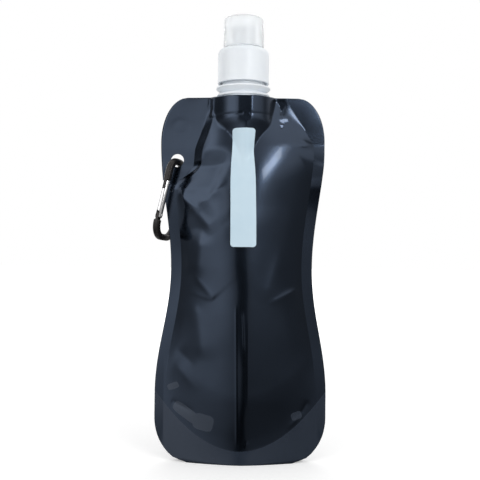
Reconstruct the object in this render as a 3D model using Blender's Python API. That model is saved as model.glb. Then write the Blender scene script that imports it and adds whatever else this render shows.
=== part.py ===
"""Foldable water pouch with a push-pull screw cap and a snap hook.

Metres, +Z up. The pouch stands on its open bottom fold, its front faces -Y and its width runs
along X. The origin is on the ground, under the middle of the spout.
"""
import math

import bmesh
import bpy
from mathutils import Matrix, Vector

# Film and clearances
FILM = 0.0004
GAP = 0.0003
LOOSE_GAP = 0.0006
EMBED = 0.0003

# Outline of the flat film: half widths and heights
HIP_HALF = 0.0510
HIP_Z = 0.0395
WAIST_HALF = 0.0420
WAIST_Z = 0.1150
EAR_HALF = 0.0489
EAR_Z = 0.1900
FILM_TOP_Z = 0.2161
FOOT_CORNER_WIDTH = 0.0200
FOOT_CORNER_HEIGHT = 0.0260
EAR_CORNER_WIDTH = 0.0159
SIDE_SEAL = 0.0063

# Bulge of the filled pocket: half depths on the centre line
FOOT_DEPTH = 0.0085
HIP_DEPTH = 0.0150
BELLY_DEPTH = 0.0175
BELLY_Z = 0.0850
WAIST_DEPTH = 0.0168
SHOULDER_DEPTH = 0.0135
SHOULDER_Z = 0.1650
THROAT_DEPTH = 0.0060
CONE_LOW_Z = 0.1760
CONE_SHARE = 0.7
CONE_TOP_BELOW_COLLAR = 0.0015

# Pocket edge in the two ears: the left ear is the larger and holds the hole
LEFT_SEAL_END_Z = 0.1610
LEFT_NOTCH_HALF = 0.0290
LEFT_NOTCH_Z = 0.1762
LEFT_THROAT_HALF = 0.0219
LEFT_THROAT_Z = 0.1964
RIGHT_SEAL_END_Z = 0.1888
RIGHT_THROAT_HALF = 0.0276

# Bottom fold
GUSSET_ARC_LOW_Z = 0.0080
GUSSET_FOLD_Z = 0.0350
GUSSET_HALF = 0.0455
ARC_BLEND = 0.0200

# Spout: weld base, neck, flanges and thread
BASE_HALF_LENGTH = 0.0183
BASE_HALF_DEPTH = 0.0133
BASE_HEIGHT = 0.0114
BASE_BELOW_TOP = 0.0005
BASE_RIB_DEPTH = 0.0006
BORE_R = 0.01085
NECK_WALL = 0.0016
LOWER_FLANGE_HALF_LENGTH = 0.01565
LOWER_FLANGE_PAST_NECK = 0.0007
LOWER_FLANGE_THICK = 0.0013
LOWER_FLANGE_ABOVE_FILM = 0.0004
UPPER_FLANGE_R = 0.0161
UPPER_FLANGE_THICK = 0.0016
UPPER_FLANGE_EDGE = 0.0010
UPPER_FLANGE_BOWL = 0.0020
FLANGE_GAP = 0.0029
NECK_HEIGHT = 0.0185
THREAD_PITCH = 0.00318
THREAD_TURNS = 1.5
THREAD_DEPTH = 0.00125
THREAD_BELOW_RIM = 0.0075
THREAD_ROOT_HALF = 0.00055
THREAD_CREST_HALF = 0.00028
RUN_OUT_START = 0.4
RUN_OUT_STEPS = 3.4

# Screw cap, liner, nozzle and dust cap
LINER_THICK = 0.0010
LINER_BORE_R = 0.0090
CAP_WALL = 0.0012
CAP_ABOVE_FLANGE = 0.0018
CAP_SHOULDER_R = 0.0036
CAP_PLATE = 0.0023
CAP_STEP_HEIGHT = 0.0018
POST_R = 0.0050
POST_BORE_R = 0.0040
POST_HEIGHT = 0.0095
POST_BEAD = 0.0006
PLUG_R = 0.0019
ARM_WIDTH = 0.0012
ARM_THICK = 0.0015
NOZZLE_R = 0.00725
NOZZLE_HEIGHT = 0.0119
NOZZLE_TOP = 0.0012
NOZZLE_LIP = 0.0014
NOZZLE_HOLE_R = 0.0022
NOZZLE_TRAVEL = 0.0030
DUST_CAP_R = 0.0121
DUST_CAP_TAPER = 0.00055
DUST_CAP_WALL = 0.0010
DUST_CAP_EDGE_R = 0.0012

# Label
LABEL_HALF_WIDTH = 0.0075
LABEL_LOW_Z = 0.1275
LABEL_HIGH_Z = 0.1965
LABEL_THICK = 0.0003

# Hole in the left ear, and the snap hook that hangs in it
HOLE_FROM_EDGE = 0.0100
HOLE_Z = 0.1786
HOLE_R = 0.0039
HOOK_ASIDE = 0.0002
HOOK_BELOW = 0.0010
HOOK_TILT = math.radians(10)
HOOK_TURN = math.radians(247)
HOOK_LENGTH = 0.0456
HOOK_TOP_GATE_SIDE = 0.0070
HOOK_TOP_SPINE_SIDE = 0.0080
HOOK_LOW_SPINE_SIDE = 0.0102
HOOK_TOP_BEND_R = 0.0065
HOOK_LOW_BEND_R = 0.0080
WIRE_WIDTH = 0.0038
WIRE_THICK = 0.0040
WIRE_CHAMFER = 0.0010
GATE_LEAN = math.radians(6)
GATE_R = 0.0021
GATE_SHORTER = 0.0232
GATE_FOOT = 0.0016
RIVET_ABOVE_LOW_END = 0.0125
RIVET_R = 0.0008
PIN_R = 0.00065
RUNNING_GAP = 0.0001
TANG_THICK = 0.0016
TANG_HALF_WIDTH = 0.0017
TANG_TOP = 0.0019
TANG_ROOT = 0.0030
NOSE_TANG = 0.0049
LATCH_BELOW_TIP = 0.0018
GATE_BORE_R = 0.0015
BORE_END_BELOW_TIP = 0.0072
PLUNGER_LENGTH = 0.0028
PLUNGER_STEM = 0.0030
PLUNGER_STEM_R = 0.0005
SPRING_TURNS = 7
SPRING_WIRE_R = 0.0002

# Mesh fineness
FILM_COLUMNS = 20
FILM_ROWS = 28
MIDDLE_CROWDING = 0.7
ROUND_STEPS = 32
SMALL_STEPS = 20
BEND_STEPS = 8

# Heights that follow from the sizes above
COLLAR_Z = FILM_TOP_Z - BASE_BELOW_TOP - BASE_HEIGHT
CONE_TOP_Z = COLLAR_Z - CONE_TOP_BELOW_COLLAR
BASE_TOP_Z = FILM_TOP_Z - BASE_BELOW_TOP
NECK_R = BORE_R + NECK_WALL
LOWER_FLANGE_Z = FILM_TOP_Z + LOWER_FLANGE_ABOVE_FILM
UPPER_FLANGE_Z = LOWER_FLANGE_Z + LOWER_FLANGE_THICK + FLANGE_GAP
NECK_FOOT_Z = UPPER_FLANGE_Z + UPPER_FLANGE_THICK
RIM_Z = NECK_FOOT_Z + NECK_HEIGHT
LINER_Z = RIM_Z + GAP
CAP_INNER_R = NECK_R + THREAD_DEPTH + GAP
CAP_R = CAP_INNER_R + CAP_WALL
PLATE_Z = LINER_Z + LINER_THICK + GAP
CAP_TOP_Z = PLATE_Z + CAP_PLATE
SKIRT_Z = NECK_FOOT_Z + CAP_ABOVE_FLANGE
STEP_Z = CAP_TOP_Z + CAP_STEP_HEIGHT
POST_TOP_Z = CAP_TOP_Z + POST_HEIGHT
NOZZLE_Z = STEP_Z + GAP
NOZZLE_TOP_Z = NOZZLE_Z + NOZZLE_HEIGHT
DUST_CAP_Z = CAP_TOP_Z + GAP
DUST_CAP_TOP_Z = NOZZLE_TOP_Z + NOZZLE_TRAVEL + GAP + DUST_CAP_WALL
THREAD_Z = RIM_Z - THREAD_BELOW_RIM
HOLE_X = HOLE_FROM_EDGE - EAR_HALF
HOOK_POINT = Vector((HOLE_X + HOOK_ASIDE, 0, HOLE_Z - HOOK_BELOW))
GATE_LENGTH = HOOK_LENGTH - GATE_SHORTER
GATE_TIP = GATE_LENGTH - GATE_FOOT
GATE_BORE_DEPTH = GATE_LENGTH - BORE_END_BELOW_TIP
RIVET_DEPTH = HOOK_LENGTH - RIVET_ABOVE_LOW_END
SLOT_HALF = TANG_THICK / 2 + GAP


# Helpers

def make_material(name, colour, roughness, metallic=0.0, alpha=1.0):
    """A plain Principled material."""
    material = bpy.data.materials.new(name)
    material.use_nodes = True
    shader = material.node_tree.nodes["Principled BSDF"]
    shader.inputs["Base Color"].default_value = (*colour, 1.0)
    shader.inputs["Roughness"].default_value = roughness
    shader.inputs["Metallic"].default_value = metallic
    shader.inputs["Alpha"].default_value = alpha
    return material


def add_object(name, bm, material=None, parent=None, location=(0, 0, 0), smooth_angle=35):
    """Turn a bmesh into an object, smooth except at its sharp edges."""
    mesh = bpy.data.meshes.new(name)
    bm.to_mesh(mesh)
    bm.free()
    mesh.shade_smooth()
    mesh.set_sharp_from_angle(angle=math.radians(smooth_angle))
    if material:
        mesh.materials.append(material)
    obj = bpy.data.objects.new(name, mesh)
    bpy.context.scene.collection.objects.link(obj)
    obj.parent = parent
    obj.location = location
    return obj


def add_empty(name, matrix, parent=None):
    """An empty that carries moving pieces at their joint."""
    empty = bpy.data.objects.new(name, None)
    bpy.context.scene.collection.objects.link(empty)
    empty.parent = parent
    empty.matrix_local = matrix
    return empty


def combine(obj, tool, operation):
    """Join a helper shape to an object, or cut it away."""
    tool.hide_render = True
    tool.display_type = "WIRE"
    modifier = obj.modifiers.new(tool.name, "BOOLEAN")
    modifier.operation = operation
    modifier.solver = "EXACT"
    modifier.object = tool


def turned(profile, steps, closed=True):
    """Spin a profile of (radius, height) points about Z into a closed solid."""
    bm = bmesh.new()
    verts = [bm.verts.new((radius, 0, height)) for radius, height in profile]
    pairs = list(zip(verts, verts[1:]))
    if closed:
        pairs.append((verts[-1], verts[0]))
    edges = [bm.edges.new(pair) for pair in pairs]
    bmesh.ops.spin(
        bm, geom=verts + edges, cent=(0, 0, 0), axis=(0, 0, 1), angle=math.tau, steps=steps
    )
    bmesh.ops.remove_doubles(bm, verts=bm.verts, dist=1e-6)
    bmesh.ops.recalc_face_normals(bm, faces=bm.faces)
    return bm


def prism(outline, low, high, axis="Z"):
    """Extrude a flat outline between two levels along Z, or along Y for an (x, z) outline."""
    bm = bmesh.new()
    rings = []
    for level in (low, high):
        if axis == "Z":
            rings.append([bm.verts.new((x, y, level)) for x, y in outline])
        else:
            rings.append([bm.verts.new((x, level, z)) for x, z in outline])
    join_rings(bm, rings)
    return bm


def join_rings(bm, rings):
    """Skin a row of closed rings and cap both ends."""
    count = len(rings[0])
    for first, second in zip(rings, rings[1:]):
        for i in range(count):
            j = (i + 1) % count
            bm.faces.new((first[i], first[j], second[j], second[i]))
    bm.faces.new(rings[0])
    bm.faces.new(list(reversed(rings[-1])))
    bmesh.ops.recalc_face_normals(bm, faces=bm.faces)


def arc_points(centre, radius, start, end, steps):
    """Points along a circular arc in a plane, from one angle in degrees to another."""
    points = []
    for i in range(steps + 1):
        angle = math.radians(start + (end - start) * i / steps)
        points.append((centre[0] + radius * math.cos(angle), centre[1] + radius * math.sin(angle)))
    return points


def circle(radius, steps, centre=(0, 0)):
    """Points of a circle that starts half a step round, clear of the symmetry planes."""
    half_step = 180 / steps
    return arc_points(centre, radius, half_step, half_step + 360, steps)[:-1]


def smooth_through(stations, place):
    """Value of a smooth curve, without overshoot, through (place, value) stations."""
    if place <= stations[0][0]:
        return stations[0][1]
    if place >= stations[-1][0]:
        return stations[-1][1]
    spans = list(zip(stations, stations[1:]))
    slopes = [(b[1] - a[1]) / (b[0] - a[0]) for a, b in spans]
    tangents = [0.0]
    for before, after in zip(slopes, slopes[1:]):
        same_way = before * after > 0
        tangents.append(2 * before * after / (before + after) if same_way else 0.0)
    tangents.append(slopes[-1])
    index = next(i for i, (a, b) in enumerate(spans) if a[0] <= place <= b[0])
    (low, start), (high, end) = spans[index]
    length = high - low
    t = (place - low) / length
    return (
        start * (1 + 2 * t) * (1 - t) ** 2
        + end * t * t * (3 - 2 * t)
        + tangents[index] * length * t * (1 - t) ** 2
        - tangents[index + 1] * length * t * t * (1 - t)
    )


def ease(low, high, value):
    """Smooth step from 0 at low to 1 at high."""
    t = min(1.0, max(0.0, (value - low) / (high - low)))
    return t * t * (3 - 2 * t)


def soft_max(a, b, blend):
    """The larger of two values, with a rounded change from one to the other."""
    return 0.5 * (a + b + math.sqrt((a - b) ** 2 + blend * blend)) - 0.5 * blend


# Shape of the film

def half_width(z):
    """Half width of the flat film at a height."""
    if z < FOOT_CORNER_HEIGHT:
        rise = (FOOT_CORNER_HEIGHT - z) / FOOT_CORNER_HEIGHT
        return HIP_HALF - FOOT_CORNER_WIDTH * (1 - math.sqrt(max(0.0, 1 - rise * rise)))
    if z < EAR_Z:
        stations = ((HIP_Z, HIP_HALF), (WAIST_Z, WAIST_HALF), (EAR_Z, EAR_HALF))
        low, high = stations[:2] if z < WAIST_Z else stations[1:]
        return low[1] + (high[1] - low[1]) * 0.5 * (
            1 - math.cos(math.pi * max(0.0, z - low[0]) / (high[0] - low[0]))
        )
    rise = min(1.0, (z - EAR_Z) / (FILM_TOP_Z - EAR_Z))
    return EAR_HALF - EAR_CORNER_WIDTH * (1 - math.sqrt(1 - rise * rise))


def pocket_half(z, left):
    """Half width of the pocket between the seals, on the left or the right side."""
    if left:
        seal_end = (LEFT_SEAL_END_Z, half_width(LEFT_SEAL_END_Z) - SIDE_SEAL)
        shoulder = (
            seal_end,
            (LEFT_NOTCH_Z, LEFT_NOTCH_HALF),
            (LEFT_THROAT_Z, LEFT_THROAT_HALF),
            (COLLAR_Z, BASE_HALF_LENGTH),
        )
    else:
        seal_end = (RIGHT_SEAL_END_Z, half_width(RIGHT_SEAL_END_Z) - SIDE_SEAL)
        shoulder = (seal_end, (BASE_TOP_Z, RIGHT_THROAT_HALF))
    if z < seal_end[0]:
        return half_width(max(z, GUSSET_FOLD_Z)) - SIDE_SEAL
    return smooth_through(shoulder, z)


def pocket_depth(z):
    """Half depth of the pocket on its centre line."""
    stations = (
        (0.0, FOOT_DEPTH),
        (HIP_Z, HIP_DEPTH),
        (BELLY_Z, BELLY_DEPTH),
        (WAIST_Z, WAIST_DEPTH),
        (SHOULDER_Z, SHOULDER_DEPTH),
        (COLLAR_Z, THROAT_DEPTH),
        (FILM_TOP_Z, 0.0),
    )
    return smooth_through(stations, z)


def gusset_arc(x):
    """Height of the curved bottom seal at a place along X."""
    share = x / GUSSET_HALF
    return GUSSET_ARC_LOW_Z + (GUSSET_FOLD_Z - GUSSET_ARC_LOW_Z) * min(1.0, share * share)


def foot_depth(x):
    """Half depth of the open foot, below the bottom seal."""
    return FOOT_DEPTH * max(0.0, 1 - (x / GUSSET_HALF) ** 2)


def base_depth(x, half_length, half_depth):
    """Half depth of the pointed weld base, or of the film round it, at a place along X."""
    return half_depth * max(0.0, 1 - (x / half_length) ** 2)


def film_depth(x, z):
    """Distance of the middle of the front film from the plane between the two films."""
    gusset_room = (FILM + GAP) * (1 - ease(GUSSET_FOLD_Z + FILM, BELLY_Z, z))
    seal = 0.5 * (FILM + GAP) + gusset_room
    share = x / pocket_half(z, x < 0)
    full = pocket_depth(z) * max(0.0, 1 - share * share)
    arc_z = gusset_arc(x)
    pocket = foot_depth(x) + (full - foot_depth(x)) * ease(arc_z, arc_z + ARC_BLEND, z)
    closing = ease(LABEL_HIGH_Z, CONE_TOP_Z, z)
    film_half = (BASE_HALF_LENGTH + 2 * LOOSE_GAP) * (CONE_SHARE + (1 - CONE_SHARE) * closing)
    fade = ease(CONE_LOW_Z, CONE_TOP_Z, z)
    collar = base_depth(x, film_half, BASE_HALF_DEPTH + LOOSE_GAP - seal) * fade
    return seal + soft_max(pocket, collar, GAP)


def column_share(i):
    """Place of a film column from -1 to 1, closer together in the middle."""
    even = 2 * i / FILM_COLUMNS - 1
    return even * (MIDDLE_CROWDING + (1 - MIDDLE_CROWDING) * even * even)


def film_rows():
    """Heights of the film's rows, closer together near its round corners."""
    return [FILM_TOP_Z * 0.5 * (1 - math.cos(math.pi * i / FILM_ROWS)) for i in range(FILM_ROWS + 1)]


def film_sheet(side):
    """Sheet of one film panel: side -1 is the front, 1 the back."""
    bm = bmesh.new()
    grid = []
    for z in film_rows():
        row = []
        for i in range(FILM_COLUMNS + 1):
            x = half_width(z) * column_share(i)
            row.append(bm.verts.new((x, side * film_depth(x, z), z)))
        grid.append(row)
    skin_grid(bm, grid)
    return bm


def skin_grid(bm, grid):
    """Fill the squares of a grid of vertices."""
    for low, high in zip(grid, grid[1:]):
        for i in range(len(low) - 1):
            bm.faces.new((low[i], low[i + 1], high[i + 1], high[i]))
    bmesh.ops.recalc_face_normals(bm, faces=bm.faces)


def thicken(obj, thickness):
    """Give a sheet its thickness, half to each side."""
    modifier = obj.modifiers.new("thickness", "SOLIDIFY")
    modifier.thickness = thickness
    modifier.offset = 0
    modifier.use_even_offset = True


def cut_hook_hole(panel):
    """Punch the hook's hole through a film panel."""
    outline = circle(HOLE_R, ROUND_STEPS, (HOLE_X, HOLE_Z))
    reach = BELLY_DEPTH
    cutter = add_object(panel.name + "_hole", prism(outline, -reach, reach, axis="Y"))
    combine(panel, cutter, "DIFFERENCE")


def make_film_panels(material):
    """The front and back film."""
    for name, side in (("front_film", -1), ("back_film", 1)):
        panel = add_object(name, film_sheet(side), material)
        thicken(panel, FILM)
        cut_hook_hole(panel)


def make_gusset(material):
    """The folded bottom film: a leaf behind each panel's lower seal and a roof between them."""
    bm = bmesh.new()
    grid = []
    leaf = 0.5 * (FILM + GAP)
    foot_half = HIP_HALF - FOOT_CORNER_WIDTH
    for i in range(FILM_COLUMNS + 1):
        x = GUSSET_HALF * (2 * i / FILM_COLUMNS - 1)
        arc_z = gusset_arc(x)
        beyond = max(0.0, (abs(x) - foot_half) / FOOT_CORNER_WIDTH)
        edge_z = FOOT_CORNER_HEIGHT * (1 - math.sqrt(1 - beyond * beyond))
        foot = leaf + foot_depth(x)
        rise = (GUSSET_FOLD_Z - arc_z) / 3
        roof = [(foot + (leaf - foot) * k / 3, arc_z + rise * k) for k in (0, 1, 2)]
        ridge_z = GUSSET_FOLD_Z + FILM
        column = [(-foot, edge_z)] + [(-y, z) for y, z in roof] + [(0.0, ridge_z)]
        column += [(y, z) for y, z in reversed(roof)] + [(foot, edge_z)]
        grid.append([bm.verts.new((x, y, z)) for y, z in column])
    skin_grid(bm, grid)
    thicken(add_object("gusset_film", bm, material), FILM)


def sheet_depth(x, z):
    """Depth of the film as its flat facets have it, between the rows and columns of its sheet."""
    rows = film_rows()
    upper = next(j for j, height in enumerate(rows) if height >= z)
    depths = []
    for row_z in (rows[upper - 1], rows[upper]):
        half = half_width(row_z)
        places = [half * column_share(i) for i in range(FILM_COLUMNS + 1)]
        right = next(i for i, place in enumerate(places) if place >= x)
        left_x, right_x = places[right - 1], places[right]
        t = (x - left_x) / (right_x - left_x)
        depths.append(film_depth(left_x, row_z) * (1 - t) + film_depth(right_x, row_z) * t)
    t = (z - rows[upper - 1]) / (rows[upper] - rows[upper - 1])
    return depths[0] * (1 - t) + depths[1] * t


def label_columns(z, shares):
    """Places of the label's columns at a height: the film's own columns, held inside its edges."""
    columns = [0.0, LABEL_HALF_WIDTH]
    for i, share in enumerate(reversed(shares)):
        columns.insert(1, min(half_width(z) * share, LABEL_HALF_WIDTH - FILM * (i + 1)))
    return [-x for x in reversed(columns[1:])] + columns


def make_label(material):
    """The blank label strip, on the front film's own rows and columns."""
    bm = bmesh.new()
    grid = []
    off = FILM / 2 + GAP + LABEL_THICK / 2
    heights = [z for z in film_rows() if LABEL_LOW_Z < z < LABEL_HIGH_Z]
    heights = [LABEL_LOW_Z, *heights, LABEL_HIGH_Z]
    reach = (LABEL_HALF_WIDTH - FILM) / min(half_width(z) for z in heights)
    shares = [column_share(i) for i in range(FILM_COLUMNS + 1) if 0 < column_share(i) < reach]
    for z in heights:
        row = []
        for x in label_columns(z, shares):
            slope_x = (sheet_depth(x + FILM, z) - sheet_depth(x - FILM, z)) / (2 * FILM)
            slope_z = (sheet_depth(x, z + FILM) - sheet_depth(x, z - FILM)) / (2 * FILM)
            outward = Vector((-slope_x, -1, -slope_z)).normalized()
            row.append(bm.verts.new(Vector((x, -sheet_depth(x, z), z)) + outward * off))
        grid.append(row)
    skin_grid(bm, grid)
    thicken(add_object("front_label", bm, material), LABEL_THICK)


# Spout and caps

def thread_ridge(root_r, crest_r, start_z, turns):
    """A helical ridge with run-out ends; root_r lies inside the wall that it joins."""
    bm = bmesh.new()
    steps = round(turns * ROUND_STEPS)
    rings = []
    for i in range(steps + 1):
        angle = math.tau * turns * i / steps
        z = start_z + THREAD_PITCH * turns * i / steps
        fade = min(1.0, (RUN_OUT_START + min(i, steps - i)) / RUN_OUT_STEPS)
        crest = root_r + (crest_r - root_r) * fade
        ring = []
        for radius, offset in (
            (root_r, -THREAD_ROOT_HALF),
            (crest, -THREAD_CREST_HALF),
            (crest, THREAD_CREST_HALF),
            (root_r, THREAD_ROOT_HALF),
        ):
            ring.append(bm.verts.new((radius * math.cos(angle), radius * math.sin(angle), z + offset)))
        rings.append(ring)
    join_rings(bm, rings)
    return bm


def make_spout(material):
    """The moulded spout: ribbed weld base, tube, oval and round flange, and the neck thread."""
    profile = [
        (BORE_R, COLLAR_Z),
        (NECK_R, COLLAR_Z),
        (NECK_R, UPPER_FLANGE_Z - UPPER_FLANGE_BOWL),
        (UPPER_FLANGE_R, UPPER_FLANGE_Z),
        (UPPER_FLANGE_R, UPPER_FLANGE_Z + UPPER_FLANGE_EDGE),
        (NECK_R + NECK_WALL, NECK_FOOT_Z),
        (NECK_R, NECK_FOOT_Z),
        (NECK_R, RIM_Z - GAP),
        (NECK_R - GAP, RIM_Z),
        (BORE_R, RIM_Z),
    ]
    spout = add_object("spout", turned(profile, ROUND_STEPS), material)

    bm = bmesh.new()
    rings = []
    ribs = 3
    for level in range(2 * ribs + 1):
        for edge in (0, 1):
            place = level + edge
            narrow = BASE_RIB_DEPTH if level % 2 else 0.0
            z = COLLAR_Z + BASE_HEIGHT * place / (2 * ribs + 1)
            ring = []
            half = 12
            for i in range(2 * half):
                along = -1 + 2 * (i if i <= half else 2 * half - i) / half
                side = -1 if i <= half else 1
                depth = side * base_depth(along, 1, BASE_HALF_DEPTH - narrow)
                ring.append(bm.verts.new((along * (BASE_HALF_LENGTH - narrow), depth, z)))
            rings.append(ring)
    join_rings(bm, rings)
    base = add_object("spout_base_shape", bm)
    combine(spout, base, "UNION")

    outline = []
    for x, y in circle(1.0, ROUND_STEPS):
        outline.append((x * LOWER_FLANGE_HALF_LENGTH, y * (NECK_R + LOWER_FLANGE_PAST_NECK)))
    flange = prism(outline, LOWER_FLANGE_Z, LOWER_FLANGE_Z + LOWER_FLANGE_THICK)
    combine(spout, add_object("lower_flange_shape", flange), "UNION")

    ridge = thread_ridge(NECK_R - EMBED, NECK_R + THREAD_DEPTH, THREAD_Z, THREAD_TURNS)
    combine(spout, add_object("neck_thread_shape", ridge), "UNION")

    bore = prism(circle(BORE_R, ROUND_STEPS), COLLAR_Z - BASE_HEIGHT, RIM_Z + BASE_HEIGHT)
    combine(spout, add_object("spout_bore", bore), "DIFFERENCE")


def make_liner(material):
    """The sealing washer in the cap."""
    profile = [
        (LINER_BORE_R, 0),
        (CAP_INNER_R - GAP, 0),
        (CAP_INNER_R - GAP, LINER_THICK),
        (LINER_BORE_R, LINER_THICK),
    ]
    add_object("cap_liner", turned(profile, ROUND_STEPS), material, location=(0, 0, LINER_Z))


def make_screw_cap(material):
    """The screw cap: threaded skirt, top plate, and the post with its plug."""
    shoulder = (CAP_R - CAP_SHOULDER_R, CAP_TOP_Z - CAP_SHOULDER_R)
    step_r = DUST_CAP_R - DUST_CAP_WALL - GAP
    bead_z = NOZZLE_Z + NOZZLE_LIP + NOZZLE_TRAVEL + GAP
    profile = [
        (CAP_INNER_R, PLATE_Z),
        (CAP_INNER_R, SKIRT_Z),
        (CAP_R - GAP, SKIRT_Z),
        (CAP_R, SKIRT_Z + GAP),
        *arc_points(shoulder, CAP_SHOULDER_R, 0, 90, BEND_STEPS),
        (step_r, CAP_TOP_Z),
        (step_r, STEP_Z),
        (POST_R, STEP_Z),
        (POST_R, bead_z),
        (POST_R + POST_BEAD, bead_z + POST_BEAD),
        (POST_R, bead_z + 3 * POST_BEAD),
        (POST_R, POST_TOP_Z),
        (POST_BORE_R, POST_TOP_Z),
        (POST_BORE_R, PLATE_Z),
    ]
    flat_profile = [(radius, height - SKIRT_Z) for radius, height in profile]
    place = (0, 0, SKIRT_Z)
    cap = add_object("screw_cap", turned(flat_profile, ROUND_STEPS), material, location=place)

    ridge = thread_ridge(
        CAP_INNER_R + EMBED,
        NECK_R + LOOSE_GAP - GAP / 2,
        THREAD_Z - THREAD_PITCH / 2,
        THREAD_TURNS,
    )
    combine(cap, add_object("cap_thread_shape", ridge), "UNION")

    arm_z = POST_TOP_Z - ARM_THICK
    for turn in range(3):
        outline = [
            (0, -ARM_WIDTH / 2),
            (POST_BORE_R + EMBED, -ARM_WIDTH / 2),
            (POST_BORE_R + EMBED, ARM_WIDTH / 2),
            (0, ARM_WIDTH / 2),
        ]
        arm = add_object("cap_arm_shape_%d" % turn, prism(outline, arm_z, POST_TOP_Z))
        arm.rotation_euler = (0, 0, math.tau * turn / 3)
        combine(cap, arm, "UNION")
    plug_top = NOZZLE_TOP_Z - GAP
    plug_outline = [
        (0, arm_z - GAP),
        (PLUG_R, arm_z - GAP),
        (PLUG_R, plug_top - GAP),
        (PLUG_R - GAP, plug_top),
        (0, plug_top),
    ]
    plug = add_object("cap_plug_shape", turned(plug_outline, SMALL_STEPS, closed=False))
    combine(cap, plug, "UNION")


def make_nozzle(material):
    """The push-pull nozzle, pushed down and closed on the plug."""
    lip_r = POST_R + GAP
    bore_r = POST_R + POST_BEAD + GAP
    edge = NOZZLE_TOP
    profile = [
        (lip_r, 0),
        (NOZZLE_R, 0),
        (NOZZLE_R, NOZZLE_HEIGHT - edge),
        *arc_points((NOZZLE_R - edge, NOZZLE_HEIGHT - edge), edge, 0, 90, 4)[1:],
        (NOZZLE_HOLE_R, NOZZLE_HEIGHT),
        (NOZZLE_HOLE_R, NOZZLE_HEIGHT - NOZZLE_TOP),
        (bore_r, NOZZLE_HEIGHT - NOZZLE_TOP),
        (bore_r, NOZZLE_LIP),
        (lip_r, NOZZLE_LIP),
    ]
    add_object("pull_nozzle", turned(profile, ROUND_STEPS), material, location=(0, 0, NOZZLE_Z))


def make_dust_cap(material):
    """The clear over-cap, open at its base."""
    height = DUST_CAP_TOP_Z - DUST_CAP_Z
    top_r = DUST_CAP_R - DUST_CAP_TAPER
    edge = DUST_CAP_EDGE_R
    inner = height - DUST_CAP_WALL
    profile = [
        (0, height),
        *arc_points((top_r - edge, height - edge), edge, 90, 0, 4),
        (DUST_CAP_R, 0),
        (DUST_CAP_R - DUST_CAP_WALL, 0),
        (top_r - DUST_CAP_WALL, inner),
        (0, inner),
    ]
    bm = turned(profile, ROUND_STEPS, closed=False)
    add_object("dust_cap", bm, material, location=(0, 0, DUST_CAP_Z))


# Snap hook

def gate_line(depth):
    """Place on the gate's centre line at a depth below the hook's top, in the hook's own plane."""
    return Vector((HOOK_TOP_GATE_SIDE + math.tan(GATE_LEAN) * depth, -depth))


def rounded_path(corners, radii):
    """Centre line through corners, each rounded by an arc."""
    path = [corners[0]]
    for before, corner, after, radius in zip(corners, corners[1:], corners[2:], radii):
        way_in = (before - corner).normalized()
        way_out = (after - corner).normalized()
        half_angle = 0.5 * way_in.angle(way_out)
        centre = corner + (way_in + way_out).normalized() * radius / math.sin(half_angle)
        start = corner + way_in * radius / math.tan(half_angle) - centre
        end = corner + way_out * radius / math.tan(half_angle) - centre
        sweep = start.angle(end)
        for i in range(BEND_STEPS + 1):
            t = i / BEND_STEPS
            along = start * math.sin((1 - t) * sweep) + end * math.sin(t * sweep)
            path.append(centre + along / math.sin(sweep))
    path.append(corners[-1])
    return path


def wire_section():
    """Flattened section of the hook: (across the wire in its plane, along the hook's axis)."""
    wide = WIRE_WIDTH / 2
    thick = WIRE_THICK / 2
    cut = WIRE_CHAMFER
    quarter = [(wide, thick - cut), (wide - cut, thick)]
    outline = list(quarter)
    outline += [(-across, out) for across, out in reversed(quarter)]
    outline += [(-across, -out) for across, out in quarter]
    outline += [(across, -out) for across, out in reversed(quarter)]
    return outline


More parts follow.
